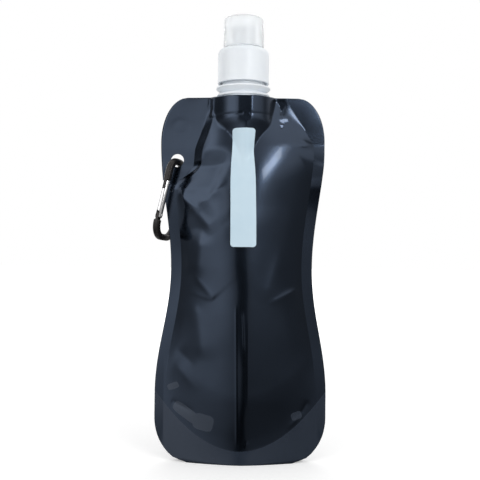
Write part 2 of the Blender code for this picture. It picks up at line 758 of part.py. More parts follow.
def make_hook_frame(material, hook, gate):
    """The bent frame of the snap hook, with a tang at each end for the gate."""
    rivet = gate_line(RIVET_DEPTH)
    gate_way = Vector((-math.sin(GATE_LEAN), math.cos(GATE_LEAN)))
    corners = [
        rivet - gate_way * TANG_ROOT,
        gate_line(HOOK_LENGTH),
        Vector((-HOOK_LOW_SPINE_SIDE, -HOOK_LENGTH)),
        Vector((-HOOK_TOP_SPINE_SIDE, 0)),
        gate_line(0),
        rivet + gate_way * (GATE_TIP + GAP),
    ]
    radii = (HOOK_LOW_BEND_R, HOOK_LOW_BEND_R, HOOK_TOP_BEND_R, HOOK_TOP_BEND_R)
    path = rounded_path(corners, radii)
    bm = bmesh.new()
    rings = []
    for i, point in enumerate(path):
        way_in = (point - path[i - 1]).normalized() if i else Vector((0, 0))
        way_out = (path[i + 1] - point).normalized() if i < len(path) - 1 else Vector((0, 0))
        way = (way_in + way_out).normalized()
        side = Vector((-way.y, way.x))
        ring = []
        for across, out in wire_section():
            place = point + side * across
            ring.append(bm.verts.new((place.x, out, place.y)))
        rings.append(ring)
    join_rings(bm, rings)
    frame = add_object("carabiner_frame", bm, material, parent=hook)

    half = TANG_HALF_WIDTH
    root = -TANG_ROOT - 2 * EMBED
    hinge_tang = [(-half, root), (half, root), (half, TANG_TOP), (-half, TANG_TOP)]
    shape = prism(hinge_tang, -TANG_THICK / 2, TANG_THICK / 2, axis="Y")
    combine(frame, add_object("hinge_tang_shape", shape, parent=gate), "UNION")
    hole = circle(RIVET_R + RUNNING_GAP, SMALL_STEPS)
    shape = prism(hole, -WIRE_THICK, WIRE_THICK, axis="Y")
    combine(frame, add_object("rivet_hole_shape", shape, parent=gate), "DIFFERENCE")

    latch_z = GATE_TIP - LATCH_BELOW_TIP
    catch_r = PIN_R + GAP
    catch = arc_points((0, latch_z), catch_r, 90, -90, 6)
    nose_tang = [
        (-half, latch_z + catch_r),
        *catch,
        (-half, latch_z - catch_r),
        (-half, GATE_TIP - NOSE_TANG),
        (half, GATE_TIP - NOSE_TANG),
        (half, GATE_TIP + GAP + 2 * EMBED),
        (-half, GATE_TIP + GAP + 2 * EMBED),
    ]
    shape = prism(nose_tang, -TANG_THICK / 2, TANG_THICK / 2, axis="Y")
    combine(frame, add_object("nose_tang_shape", shape, parent=gate), "UNION")


def make_gate(material, gate):
    """The tubular gate: slotted at both ends and bored for its spring."""
    profile = [
        (0, GATE_TIP),
        (GATE_R - GAP, GATE_TIP),
        (GATE_R, GATE_TIP - GAP),
        (GATE_R, GAP - GATE_FOOT),
        (GATE_R - GAP, -GATE_FOOT),
        (0, -GATE_FOOT),
    ]
    tube = add_object("carabiner_gate", turned(profile, SMALL_STEPS, closed=False), material, gate)
    reach = 2 * GATE_R
    tip_slot = (GATE_TIP - NOSE_TANG - GAP, GATE_TIP + reach)
    foot_slot = (-GATE_FOOT - reach, TANG_TOP + 2 * GAP)
    for name, (low, high) in (("tip_slot_shape", tip_slot), ("foot_slot_shape", foot_slot)):
        outline = [(-reach, -SLOT_HALF), (reach, -SLOT_HALF), (reach, SLOT_HALF), (-reach, SLOT_HALF)]
        combine(tube, add_object(name, prism(outline, low, high), parent=gate), "DIFFERENCE")
    shape = prism(circle(GATE_BORE_R, SMALL_STEPS), -GATE_FOOT - reach, GATE_BORE_DEPTH - GATE_FOOT)
    combine(tube, add_object("gate_bore_shape", shape, parent=gate), "DIFFERENCE")
    for name, radius, height in (
        ("gate_rivet_hole", RIVET_R, 0),
        ("gate_pin_hole", PIN_R, GATE_TIP - LATCH_BELOW_TIP),
    ):
        hole = circle(radius + RUNNING_GAP, SMALL_STEPS, (0, height))
        shape = prism(hole, -reach, reach, axis="Y")
        combine(tube, add_object(name, shape, parent=gate), "DIFFERENCE")


def make_cross_pins(steel, gate):
    """The hinge rivet, and the latch pin that the nose catches."""
    for name, radius, length, height in (
        ("gate_rivet", RIVET_R, GATE_R + GAP, 0),
        ("latch_pin", PIN_R, GATE_R, GATE_TIP - LATCH_BELOW_TIP),
    ):
        dome = radius / 3
        profile = [
            (0, length),
            (radius - dome, length),
            (radius, length - dome),
            (radius, dome - length),
            (radius - dome, -length),
            (0, -length),
        ]
        pin = add_object(name, turned(profile, SMALL_STEPS, closed=False), steel, gate)
        pin.location = (0, 0, height)
        pin.rotation_euler = (math.pi / 2, 0, 0)


def make_gate_spring(steel, gate):
    """The plunger on the hinge tang, and the coil spring above it."""
    plunger_r = GATE_BORE_R - GAP
    head_z = TANG_TOP + GAP
    profile = [
        (0, PLUNGER_LENGTH + PLUNGER_STEM),
        (PLUNGER_STEM_R, PLUNGER_LENGTH + PLUNGER_STEM),
        (PLUNGER_STEM_R, PLUNGER_LENGTH),
        (plunger_r, PLUNGER_LENGTH),
        (plunger_r, 0),
        (0, 0),
    ]
    plunger = turned(profile, SMALL_STEPS, closed=False)
    add_object("gate_plunger", plunger, steel, gate, location=(0, 0, head_z))

    coil_r = plunger_r - SPRING_WIRE_R
    low = head_z + PLUNGER_LENGTH + SPRING_WIRE_R + GAP
    high = GATE_BORE_DEPTH - GATE_FOOT - SPRING_WIRE_R - GAP
    per_turn = 9
    count = SPRING_TURNS * per_turn
    curve = bpy.data.curves.new("gate_spring", "CURVE")
    curve.dimensions = "3D"
    curve.bevel_depth = SPRING_WIRE_R
    curve.bevel_resolution = 1
    curve.use_fill_caps = True
    spline = curve.splines.new("POLY")
    spline.points.add(count)
    for i, point in enumerate(spline.points):
        angle = math.tau * i / per_turn
        height = low + (high - low) * i / count
        point.co = (coil_r * math.cos(angle), coil_r * math.sin(angle), height, 1)
    curve.materials.append(steel)
    spring = bpy.data.objects.new("gate_spring", curve)
    bpy.context.scene.collection.objects.link(spring)
    spring.parent = gate


def main():
    for obj in list(bpy.data.objects):
        bpy.data.objects.remove(obj, do_unlink=True)

    film = make_material("film", (0.012, 0.016, 0.024), 0.28)
    label = make_material("label", (0.62, 0.74, 0.82), 0.35)
    white = make_material("white_plastic", (0.82, 0.86, 0.88), 0.35)
    clear = make_material("clear_plastic", (0.80, 0.84, 0.86), 0.12, alpha=0.35)
    foam = make_material("liner_foam", (0.75, 0.75, 0.73), 0.7)
    black = make_material("black_anodised", (0.015, 0.013, 0.013), 0.3, 0.6)
    silver = make_material("gate_metal", (0.75, 0.75, 0.76), 0.25, 1.0)
    steel = make_material("steel", (0.6, 0.6, 0.62), 0.3, 1.0)

    make_film_panels(film)
    make_gusset(film)
    make_label(label)
    make_spout(white)
    make_liner(foam)
    make_screw_cap(white)
    make_nozzle(white)
    make_dust_cap(clear)

    turn = Matrix.Rotation(HOOK_TILT, 4, "Y") @ Matrix.Rotation(HOOK_TURN, 4, "Z")
    hook = add_empty("hook_pivot", Matrix.Translation(HOOK_POINT) @ turn)
    rivet = gate_line(RIVET_DEPTH)
    lean = Matrix.Rotation(-GATE_LEAN, 4, "Y")
    gate = add_empty("gate_pivot", Matrix.Translation((rivet.x, 0, rivet.y)) @ lean, hook)
    make_hook_frame(black, hook, gate)
    make_gate(silver, gate)
    make_cross_pins(steel, gate)
    make_gate_spring(steel, gate)


main()
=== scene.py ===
"""Looks of the foldable water pouch: film, label, spout, caps and snap hook.

Metres, +Z up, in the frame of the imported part. The front faces -Y and the ground is at z = 0.
"""
import math

import bmesh
import bpy
import numpy as np
from mathutils import Matrix, Vector


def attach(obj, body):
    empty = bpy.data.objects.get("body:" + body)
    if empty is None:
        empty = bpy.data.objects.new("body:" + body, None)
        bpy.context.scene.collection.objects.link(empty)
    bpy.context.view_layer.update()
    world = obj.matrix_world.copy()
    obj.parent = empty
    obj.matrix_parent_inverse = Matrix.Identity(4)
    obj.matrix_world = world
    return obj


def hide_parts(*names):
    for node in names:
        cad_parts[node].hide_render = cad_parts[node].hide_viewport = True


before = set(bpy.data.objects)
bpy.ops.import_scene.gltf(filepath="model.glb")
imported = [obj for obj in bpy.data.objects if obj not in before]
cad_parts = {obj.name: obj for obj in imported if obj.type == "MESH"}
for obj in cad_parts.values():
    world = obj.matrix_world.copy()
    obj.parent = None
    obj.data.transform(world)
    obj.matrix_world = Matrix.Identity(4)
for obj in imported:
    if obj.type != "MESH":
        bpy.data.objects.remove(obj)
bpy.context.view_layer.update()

# Film sizes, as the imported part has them
FILM = 0.0004
GAP = 0.0003
LOOSE_GAP = 0.0006
EMBED = 0.0003
TINY = 1e-7
HIP_HALF = 0.0510
HIP_Z = 0.0395
WAIST_HALF = 0.0420
WAIST_Z = 0.1150
EAR_HALF = 0.0489
EAR_Z = 0.1900
FILM_TOP_Z = 0.2161
FOOT_CORNER_WIDTH = 0.0200
FOOT_CORNER_HEIGHT = 0.0260
EAR_CORNER_WIDTH = 0.0159
SIDE_SEAL = 0.0063
FOOT_DEPTH = 0.0085
HIP_DEPTH = 0.0150
BELLY_DEPTH = 0.0175
BELLY_Z = 0.0850
WAIST_DEPTH = 0.0168
SHOULDER_DEPTH = 0.0135
SHOULDER_Z = 0.1650
THROAT_DEPTH = 0.0060
LEFT_SEAL_END_Z = 0.1610
LEFT_NOTCH_HALF = 0.0290
LEFT_NOTCH_Z = 0.1762
RIGHT_SEAL_END_Z = 0.1888
GUSSET_ARC_LOW_Z = 0.0080
GUSSET_FOLD_Z = 0.0350
GUSSET_HALF = 0.0455
BASE_HALF_LENGTH = 0.0183
BASE_HALF_DEPTH = 0.0133
BASE_HEIGHT = 0.0114
BASE_BELOW_TOP = 0.0005
COLLAR_Z = FILM_TOP_Z - BASE_BELOW_TOP - BASE_HEIGHT
BASE_TOP_Z = FILM_TOP_Z - BASE_BELOW_TOP
LABEL_LOW_Z = 0.1275
LABEL_HIGH_Z = 0.1965
HOLE_X = -0.0389
HOLE_Z = 0.1786
HOLE_R = 0.0039

# Thickness of the visible sheets and the gaps between them
SHEET = 0.0002
SEAL_DEPTH = 0.00014
LEAF_GAP = 0.00005
LABEL_GAP = 0.00006
LABEL_SHEET = 0.00012
LABEL_CORNER_R = 0.0018

# Fineness of the visible sheets, and how their grids are spaced
SEAL_COLUMNS = 18
POCKET_COLUMNS = 150
COLUMN_CROWDING = 0.6
POCKET_SHARE = 0.9
ARC_PASSES = 40
BODY_CROWDING = 0.25
FOOT_ROWS = 14
HIP_ROWS = 56
BODY_ROWS = 210
HIP_BLOCK_Z = 0.0700
LABEL_COLUMNS = 26
LABEL_ROWS = 110
SLOPE_STEP = 0.0004
GUSSET_COLUMNS = 80
GUSSET_ROOF_ROWS = 10
GUSSET_SHARE = 0.985
GUSSET_LIFT = 0.0002
GUSSET_NARROW = 0.25
ROOF_POWERS = (1.3, 0.8)
HOLE_STEPS = 64
HOLE_REACH = 0.0200

# Edges sharper than these angles, in degrees, stay sharp
FILM_ANGLE = 20
GUSSET_ANGLE = 60
HARD_ANGLE = 35

# Fineness of the round hard parts, in steps round the circle or along the run
LATHE_STEPS = 96
RUN_OUT_STEPS = 10
BASE_STEPS = 24
PLUG_STEPS = 48
GATE_STEPS = 64
BORE_STEPS = 40
PIN_STEPS = 32
CATCH_STEPS = 12

# Rounded edges of the weld base's ribs and of the oval flange, as (share of the height, inset)
RIB_EDGES = ((0.04, 0.00015), (0.2, 0.0), (0.8, 0.0), (0.96, 0.00015))
FLANGE_EDGES = ((0.0, 0.0003), (0.2, 0.0), (0.8, 0.0), (1.0, 0.0003))

# Hard parts: sizes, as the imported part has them
BASE_RIBS = 3
BASE_RIB_DEPTH = 0.0006
BORE_R = 0.01085
NECK_R = BORE_R + 0.0016
LOWER_FLANGE_HALF_LENGTH = 0.01565
LOWER_FLANGE_PAST_NECK = 0.0007
LOWER_FLANGE_THICK = 0.0013
LOWER_FLANGE_Z = FILM_TOP_Z + 0.0004
UPPER_FLANGE_R = 0.0161
UPPER_FLANGE_EDGE = 0.0010
UPPER_FLANGE_BOWL = 0.0020
UPPER_FLANGE_Z = LOWER_FLANGE_Z + LOWER_FLANGE_THICK + 0.0029
NECK_FOOT_Z = UPPER_FLANGE_Z + 0.0016
RIM_Z = NECK_FOOT_Z + 0.0185
THREAD_PITCH = 0.00318
THREAD_TURNS = 1.5
THREAD_DEPTH = 0.00125
THREAD_Z = RIM_Z - 0.0075
THREAD_ROOT_HALF = 0.00055
THREAD_CREST_HALF = 0.00028
LINER_THICK = 0.0010
CAP_INNER_R = 0.0140
CAP_R = CAP_INNER_R + 0.0012
SKIRT_Z = NECK_FOOT_Z + 0.0018
CAP_SHOULDER_R = 0.0036
PLATE_Z = RIM_Z + GAP + LINER_THICK + GAP
CAP_TOP_Z = PLATE_Z + 0.0023
STEP_Z = CAP_TOP_Z + 0.0018
POST_R = 0.0050
POST_BORE_R = 0.0040
POST_TOP_Z = CAP_TOP_Z + 0.0095
POST_BEAD = 0.0006
PLUG_R = 0.0019
ARMS = 3
ARM_WIDTH = 0.0012
ARM_THICK = 0.0015
NOZZLE_R = 0.00725
NOZZLE_Z = STEP_Z + GAP
NOZZLE_TOP = 0.0012
NOZZLE_TOP_Z = NOZZLE_Z + 0.0119
NOZZLE_LIP = 0.0014
NOZZLE_HOLE_R = 0.0022
NOZZLE_TRAVEL = 0.0030
DUST_CAP_R = 0.0121
DUST_CAP_TAPER = 0.00055
DUST_CAP_WALL = 0.0010
DUST_CAP_EDGE_R = 0.0012
DUST_CAP_Z = CAP_TOP_Z + GAP
DUST_CAP_TOP_Z = 0.2630
HOOK_POINT = Vector((HOLE_X + 0.0002, 0.0, HOLE_Z - 0.0010))
HOOK_TILT = math.radians(10)
HOOK_TURN = math.radians(247)
HOOK_LENGTH = 0.0456
HOOK_TOP_GATE_SIDE = 0.0070
HOOK_TOP_SPINE_SIDE = 0.0080
HOOK_LOW_SPINE_SIDE = 0.0102
HOOK_TOP_BEND_R = 0.0065
HOOK_LOW_BEND_R = 0.0080
WIRE_WIDTH = 0.0038
WIRE_THICK = 0.0040
GATE_LEAN = math.radians(6)
GATE_LENGTH = HOOK_LENGTH - 0.0232
RIVET_DEPTH = HOOK_LENGTH - 0.0125
GATE_R = 0.0021
GATE_FOOT = 0.0016
GATE_TIP = GATE_LENGTH - GATE_FOOT
RIVET_R = 0.0008
PIN_R = 0.00065
PIN_SLACK = 0.0001
PIN_DOME = 0.7
HOOK_EDGE_R = 0.0013
TANG_THICK = 0.0016
TANG_HALF_WIDTH = 0.0017
TANG_TOP = 0.0019
TANG_ROOT = 0.0030
NOSE_TANG = 0.0049
LATCH_BELOW_TIP = 0.0018
SLOT_HALF = TANG_THICK / 2 + GAP
GATE_BORE_R = 0.0015
GATE_BORE_DEPTH = GATE_LENGTH - 0.0072

# Camera: level, as far away as the photograph's perspective shows
CAMERA_DISTANCE = 0.440
CAMERA_HEIGHT = 0.1315
CAMERA_ASIDE = -0.0010
CAMERA_ROLL = math.radians(-0.6)
METRES_PER_PIXEL = 0.000596
IMAGE_PIXELS = 480
SENSOR = 36.0


# Smooth curves

def ease(low, high, value):
    """Smooth step from 0 at low to 1 at high."""
    t = np.clip((value - low) / (high - low), 0.0, 1.0)
    return t * t * (3 - 2 * t)


def soft_max(a, b, blend):
    """The larger of two values, with a rounded change from one to the other."""
    return 0.5 * (a + b + np.sqrt((a - b) ** 2 + blend * blend)) - 0.5 * blend


def smooth_through(stations, place):
    """Values of a smooth curve, without overshoot, through (place, value) stations."""
    places, values = (np.array(column) for column in zip(*stations))
    lengths = np.diff(places)
    slopes = np.diff(values) / lengths
    before, after = slopes[:-1], slopes[1:]
    same_way = before * after > 0
    total = np.where(same_way, before + after, 1.0)
    tangents = np.zeros(len(places))
    tangents[1:-1] = np.where(same_way, 2 * before * after / total, 0.0)
    tangents[-1] = slopes[-1]
    place = np.clip(place, places[0], places[-1])
    index = np.clip(np.searchsorted(places, place) - 1, 0, len(slopes) - 1)
    t = (place - places[index]) / lengths[index]
    return (
        values[index] * (1 + 2 * t) * (1 - t) ** 2
        + values[index + 1] * t * t * (3 - 2 * t)
        + tangents[index] * lengths[index] * t * (1 - t) ** 2
        - tangents[index + 1] * lengths[index] * t * t * (1 - t)
    )


# Shape of the film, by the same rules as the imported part

# Half width of the pocket at heights above the end of each side seal
LEFT_SHOULDER = (
    (LEFT_NOTCH_Z, LEFT_NOTCH_HALF), (0.1840, 0.0284), (0.1955, 0.0246), (0.2011, 0.0229),
    (FILM_TOP_Z, 0.0205),
)
RIGHT_SHOULDER = (
    (RIGHT_SEAL_END_Z + 0.0007, 0.0420), (0.2000, 0.0352), (0.2080, 0.0301), (BASE_TOP_Z, 0.0256),
)


def round_corner(share):
    """Inset of a round corner from 0 to 1, over a share of its length."""
    share = np.clip(share, 0, 1)
    return 1 - np.sqrt(1 - share * share)


def half_wave(share):
    """Cosine wave from 0 to 1, over a share of its length."""
    return 0.5 * (1 - np.cos(math.pi * np.clip(share, 0, 1)))


def half_width(z):
    """Half width of the flat film at a height."""
    foot = HIP_HALF - FOOT_CORNER_WIDTH * round_corner((FOOT_CORNER_HEIGHT - z) / FOOT_CORNER_HEIGHT)
    hip = HIP_HALF + (WAIST_HALF - HIP_HALF) * half_wave((z - HIP_Z) / (WAIST_Z - HIP_Z))
    waist = WAIST_HALF + (EAR_HALF - WAIST_HALF) * half_wave((z - WAIST_Z) / (EAR_Z - WAIST_Z))
    ear = EAR_HALF - EAR_CORNER_WIDTH * round_corner((z - EAR_Z) / (FILM_TOP_Z - EAR_Z))
    return np.select([z < FOOT_CORNER_HEIGHT, z < WAIST_Z, z < EAR_Z], [foot, hip, waist], ear)


def pocket_half(z, left):
    """Half width of the pocket between the seals, on the left or the right side."""
    end_z, shoulder = (LEFT_SEAL_END_Z, LEFT_SHOULDER) if left else (RIGHT_SEAL_END_Z, RIGHT_SHOULDER)
    start = (end_z, float(half_width(end_z)) - SIDE_SEAL)
    below = half_width(np.maximum(z, GUSSET_FOLD_Z)) - SIDE_SEAL
    return np.where(z < end_z, below, smooth_through((start, *shoulder), z))


def gusset_arc(x):
    """Height of the curved bottom seal at a place along X."""
    share = x / GUSSET_HALF
    return GUSSET_ARC_LOW_Z + (GUSSET_FOLD_Z - GUSSET_ARC_LOW_Z) * np.minimum(1.0, share * share)


def base_depth(x, half_length, half_depth):
    """Half depth of the film round the pointed weld base, at a place along X."""
    return half_depth * np.maximum(0.0, 1 - (x / half_length) ** 2)


# What the film's looks add to those rules, by height

# How far the middle line drifts to the right
MIDDLE_DRIFT = (
    (0.000, 0.0016), (0.030, 0.0017), (0.055, 0.0019), (0.100, 0.0008), (0.125, -0.0006),
    (0.165, 0.0006), (0.200, 0.0020), (FILM_TOP_Z, 0.0020),
)

# Depth of the pocket on its middle line, and half width and depth of the cone below the spout
PEAK_DEPTH = (
    (0.000, FOOT_DEPTH), (HIP_Z, HIP_DEPTH), (BELLY_Z, BELLY_DEPTH), (WAIST_Z, WAIST_DEPTH),
    (SHOULDER_Z, SHOULDER_DEPTH), (COLLAR_Z, THROAT_DEPTH), (FILM_TOP_Z, 0.0),
)
CONE_HALF = (
    (0.1740, 0.0015), (0.1895, 0.0070), (0.2023, 0.0172), (COLLAR_Z, 0.0188),
)
CONE_RISE = (
    (0.1740, 0.0), (0.1900, 0.0034), (COLLAR_Z, 0.0079),
)

# How far the seals and ears lean back, in degrees, and where the right ear starts to lean
LEFT_LEAN = (
    (0.000, 9.0), (0.060, 10.0), (0.095, 12.0), (0.115, 9.0), (0.140, 6.0), (0.160, 6.0),
    (0.185, 8.0), (FILM_TOP_Z, 7.0),
)
RIGHT_LEAN = (
    (0.000, 9.0), (0.060, 9.0), (0.115, 7.0), (0.145, 2.0), (0.160, -4.0), (0.165, -10.0),
    (0.173, -12.0), (0.189, 4.0), (FILM_TOP_Z, 4.0),
)
LEAN_FROM = (
    (0.000, HIP_HALF), (0.155, 0.0460), (0.166, 0.0430), (0.176, 0.0370), (0.190, 0.0282),
    (FILM_TOP_Z, 0.0250),
)

# Power of the pocket's fall from the middle line to the seals, and what is added on the left
MIDDLE_POWER = (
    (0.000, 1.50), (0.020, 1.55), (0.055, 1.60), (0.078, 1.85), (0.098, 2.00), (FILM_TOP_Z, 2.00),
)
LEFT_FULLNESS = (
    (0.0000, 0.0), (0.1600, 0.0), (0.1880, 1.2), (FILM_TOP_Z, 1.6),
)

# Right shoulder: fuller and sunk over these heights
RIGHT_FULLNESS = 0.4
FULL_Z = (0.150, 0.178)
RIGHT_SUNK = 0.65
SUNK_Z = (0.186, 0.206)

# Left shoulder: a steep wall beside the seal from these heights on
WALL_WIDTH = 0.0042
WALL_HEIGHT = 0.0042
WALL_SHARE = 0.6
STEEP_Z = (0.166, 0.180)

# Left side between waist and shoulder: flat near the middle, then straight down to the seal
FLAT_SHARE = 0.32
FLAT_BLEND = 0.14
STRAIGHT_LOW_Z = (0.126, 0.140)
STRAIGHT_HIGH_Z = (0.172, 0.188)

# Collar round the weld base, cone and flared foot
COLLAR_HALF = BASE_HALF_LENGTH + 2 * LOOSE_GAP
COLLAR_DRIFT = 0.0010
COLLAR_SLACK = 1.4 * LOOSE_GAP
COLLAR_FLAT = 0.3 * LOOSE_GAP
WRAP_Z = (COLLAR_Z - 0.0090, COLLAR_Z - 0.0002)
CONE_POWER = 1.45
CONE_ROUND_Z = (COLLAR_Z - 0.006, COLLAR_Z)
FOOT_POWER = 1.5
FOOT_FLARE = 0.0014
ARC_SWELL = 0.034
ARC_POWER = 1.6
TOP_DIP = 0.0007


def film_top(x):
    """Height of the film's upper edge, a little lower in front of and behind the spout."""
    share = np.clip(x / COLLAR_HALF, -1, 1)
    return FILM_TOP_Z - TOP_DIP * (1 - share * share)


def flat_then_straight(share):
    """Fall from 0 to 1 that stays low to FLAT_SHARE and runs straight after it."""
    low, middle, high = (
        0.5 * (place - FLAT_SHARE + np.sqrt((place - FLAT_SHARE) ** 2 + FLAT_BLEND**2))
        for place in (0.0, share, 1.0)
    )
    return (middle - low) / (high - low)


def pocket_depth(x, z):
    """Half depth of the pocket above the foot: 0 at the seals, deepest on the middle line."""
    peak = smooth_through(PEAK_DEPTH, z)
    left, right = pocket_half(z, True), pocket_half(z, False)
    flat = np.clip(x / np.where(x < 0, left, right), -1, 1)
    moved = x - smooth_through(MIDDLE_DRIFT, z) * (1 - flat * flat)
    power = smooth_through(MIDDLE_POWER, z)
    share = np.clip(moved / right, 0, 1)
    sunk = 1 - RIGHT_SUNK * ease(*SUNK_Z, z) * share
    right_side = peak * (1 - share ** (power + RIGHT_FULLNESS * ease(*FULL_Z, z))) * sunk
    steep = ease(*STEEP_Z, z) * (1 - ease(COLLAR_Z, FILM_TOP_Z, z))
    wall = np.minimum(WALL_HEIGHT, WALL_SHARE * peak) * steep
    power = power + smooth_through(LEFT_FULLNESS, z)
    inward = np.maximum(0.0, moved + left)
    share = np.clip(-moved / (left - WALL_WIDTH * steep), 0, 1)
    climb = np.clip(inward / WALL_WIDTH, 0, 1)
    straight = ease(*STRAIGHT_LOW_Z, z) * (1 - ease(*STRAIGHT_HIGH_Z, z))
    fall = share**power
    fall = fall + (flat_then_straight(share) - fall) * straight
    left_side = wall * climb + (peak - wall) * (1 - fall)
    return np.where(moved < 0, left_side, right_side)


def open_foot_depth(x, z):
    """Half depth of the flared foot, with a soft ridge along its middle."""
    below = np.clip(1 - z / gusset_arc(x), 0, 1)
    depth = FOOT_DEPTH + FOOT_FLARE * below
    return depth * np.maximum(0.0, 1 - np.abs(x / GUSSET_HALF) ** FOOT_POWER)


def plain_depth(x, z):
    """Distance of the smooth film from the plane between the two films."""
    foot = open_foot_depth(x, z)
    above = np.clip((z - gusset_arc(x)) / ARC_SWELL, 0, 1)
    pocket = foot + (pocket_depth(x, z) - foot) * (1 - (1 - above) ** ARC_POWER)
    middle = x - smooth_through(MIDDLE_DRIFT, z)
    share = np.minimum(1.0, np.abs(middle / smooth_through(CONE_HALF, z)))
    power = CONE_POWER + (2 - CONE_POWER) * ease(*CONE_ROUND_Z, z)
    cone = np.where(z < COLLAR_Z, smooth_through(CONE_RISE, z) * (1 - share**power), 0.0)
    moved = x - base_depth(x, COLLAR_HALF, COLLAR_DRIFT)
    collar = base_depth(moved, COLLAR_HALF, BASE_HALF_DEPTH + COLLAR_SLACK)
    collar = -soft_max(-collar, -(BASE_HALF_DEPTH + COLLAR_FLAT), GAP)
    wrapped = ease(*WRAP_Z, z)
    open_film = pocket + cone
    return SEAL_DEPTH + open_film + (soft_max(pocket, collar, GAP) - open_film) * wrapped


# Creases, in millimetres: x and z of the start and of the end, height outward, widths on the left
# and on the right of the line, how blunt the crest is, and the shares of the length over which the
# crease grows and dies away

FRONT_FOLDS = (
    (-40.0, 160.0, -23.5, 147.2, 1.3, 5.5, 6.5, 0.4, 0.3, 0.5),
    (-26.0, 150.0, -8.1, 167.0, 1.3, 3.5, 4.0, 1.2, 0.3, 0.5),
    (-10.0, 184.0, -23.0, 148.0, -1.0, 4.0, 5.0, 2.5, 0.25, 0.3),
    (-33.0, 155.0, -15.5, 135.0, 1.0, 6.0, 3.2, 0.8, 0.35, 0.25),
    (-22.5, 140.0, -26.2, 108.0, 1.2, 4.5, 5.0, 2.0, 0.4, 0.3),
    (-28.5, 111.5, -15.0, 96.6, 0.8, 5.0, 2.2, 0.4, 0.3, 0.14),
    (-33.0, 101.5, -15.5, 96.6, 0.3, 1.6, 0.9, 0.3, 0.5, 0.25),
    (-27.0, 96.0, -21.0, 60.0, 1.1, 5.0, 6.0, 2.2, 0.3, 0.3),
    (-39.0, 68.0, -25.0, 56.0, -0.7, 5.0, 4.0, 1.0, 0.3, 0.4),
    (-40.0, 60.0, -23.0, 42.0, 0.6, 6.0, 4.0, 1.0, 0.3, 0.5),
    (37.0, 104.5, 14.2, 94.2, 0.5, 4.0, 1.4, 0.6, 0.4, 0.25),
    (14.2, 94.2, 24.0, 133.0, 0.6, 3.0, 6.0, 1.6, 0.25, 0.6),
    (41.8, 188.0, 29.0, 186.8, 0.4, 1.0, 1.0, 0.2, 0.05, 0.6),
    (41.8, 189.0, 33.0, 191.2, 0.3, 0.9, 0.9, 0.2, 0.05, 0.6),
    (41.0, 37.0, 33.0, 24.0, -0.7, 2.2, 1.8, 0.4, 0.2, 0.4),
    (38.0, 30.0, 27.0, 20.0, 0.5, 1.6, 1.6, 0.3, 0.2, 0.4),
    (-41.5, 36.0, -24.0, 29.0, -0.4, 1.6, 2.0, 0.3, 0.1, 0.5),
    (-3.0, 96.0, -1.8, 10.0, 0.12, 0.4, 0.4, 0.2, 0.1, 0.1),
    (0.8, 93.0, 2.2, 64.0, 0.1, 0.4, 0.4, 0.2, 0.2, 0.3),
    (4.0, 90.0, 4.6, 30.0, 0.06, 0.5, 0.5, 0.2, 0.3, 0.3),
    (3.3, 12.8, 4.0, 10.8, 0.3, 1.0, 1.0, 0.4, 0.3, 0.3),
    (-16.5, 204.6, 0.5, 205.0, -0.22, 0.4, 0.4, 0.1, 0.1, 0.05),
    (3.0, 204.9, 18.5, 205.2, -0.16, 0.4, 0.4, 0.1, 0.1, 0.1),
    (-18.2, 203.5, -17.8, 216.0, 1.0, 0.7, 1.3, 0.2, 0.1, 0.02),
    (22.8, 215.0, 23.2, 204.0, -1.2, 1.2, 1.6, 0.3, 0.1, 0.3),
)
BACK_FOLDS = (
    (39.5, 170.0, 15.0, 150.0, 0.9, 4.0, 3.0, 0.6, 0.05, 0.8),
    (25.0, 156.0, 10.0, 176.0, 0.8, 4.0, 4.0, 1.2, 0.3, 0.4),
    (-39.5, 161.2, -20.0, 150.0, 0.9, 4.0, 2.6, 0.6, 0.05, 0.9),
    (-26.0, 186.0, -12.0, 158.0, 1.0, 5.0, 5.0, 1.8, 0.3, 0.4),
    (-34.0, 112.0, -15.0, 100.0, 0.9, 5.0, 2.0, 0.6, 0.3, 0.1),
    (23.0, 135.0, 16.0, 90.0, 1.0, 6.0, 6.0, 1.0, 0.4, 0.1),
    (35.0, 94.0, 15.0, 88.0, 0.5, 4.0, 1.4, 0.4, 0.4, 0.1),
    (-40.0, 62.0, -22.0, 45.0, 0.7, 5.0, 4.0, 1.0, 0.3, 0.4),
    (39.0, 58.0, 24.0, 42.0, 0.7, 5.0, 4.0, 1.0, 0.3, 0.4),
    (-1.0, 150.0, 1.5, 20.0, 0.1, 0.4, 0.4, 0.2, 0.2, 0.2),
)

# Small flat facets: centre (x, z), half length and half width, then in degrees their turn and the way
# they face as azimuth and upward tilt; FACET_EDGE says, in half sizes, where a facet starts and is full
FRONT_FACETS = (
    (0.0245, 0.2025, 0.0036, 0.0021, 14.0, 11.0, 5.8),
    (0.0230, 0.1989, 0.0017, 0.0013, -20.0, 11.0, 5.8),
)
FACET_EDGE = (1.3, 0.7)

# Ring dent in the left ear: centre (x, z), radius, depth and how narrow the ring is
LEFT_EAR_DENT = (-0.0372, 0.1985, 0.0042, 0.00007, 6)

# Waves of the pocket as (length, height), how many and how uneven they are, and where waves and
# creases die away: the shares of the pocket next to its seals, and heights
LONG_WAVE = (0.030, 0.00006)
SHORT_WAVE = (0.012, 0.00001)
WAVE_COUNT = 14
WAVE_SIZES = (0.7, 1.6)
FRONT_SEED = 5
BACK_SEED = 11
WAVE_EDGE = 0.2
WAVE_EDGE_Z = 0.006
WAVE_TOP_Z = (COLLAR_Z - 0.012, COLLAR_Z)
FOLD_EDGE = 0.14

# Wave of the seals and ears: length, height, place in the wave on the left and right, and the shares
# of the half width and the heights over which it grows; over LEAN_Z the lean back grows
EAR_WAVE_LENGTH = 0.085
EAR_WAVE_HEIGHT = 0.0004
EAR_WAVE_PLACE = (0.1, 0.45)
EAR_WAVE_SHARE = (0.55, 1.0)
EAR_WAVE_Z = (0.030, 0.060)
LEAN_Z = (0.010, 0.050)


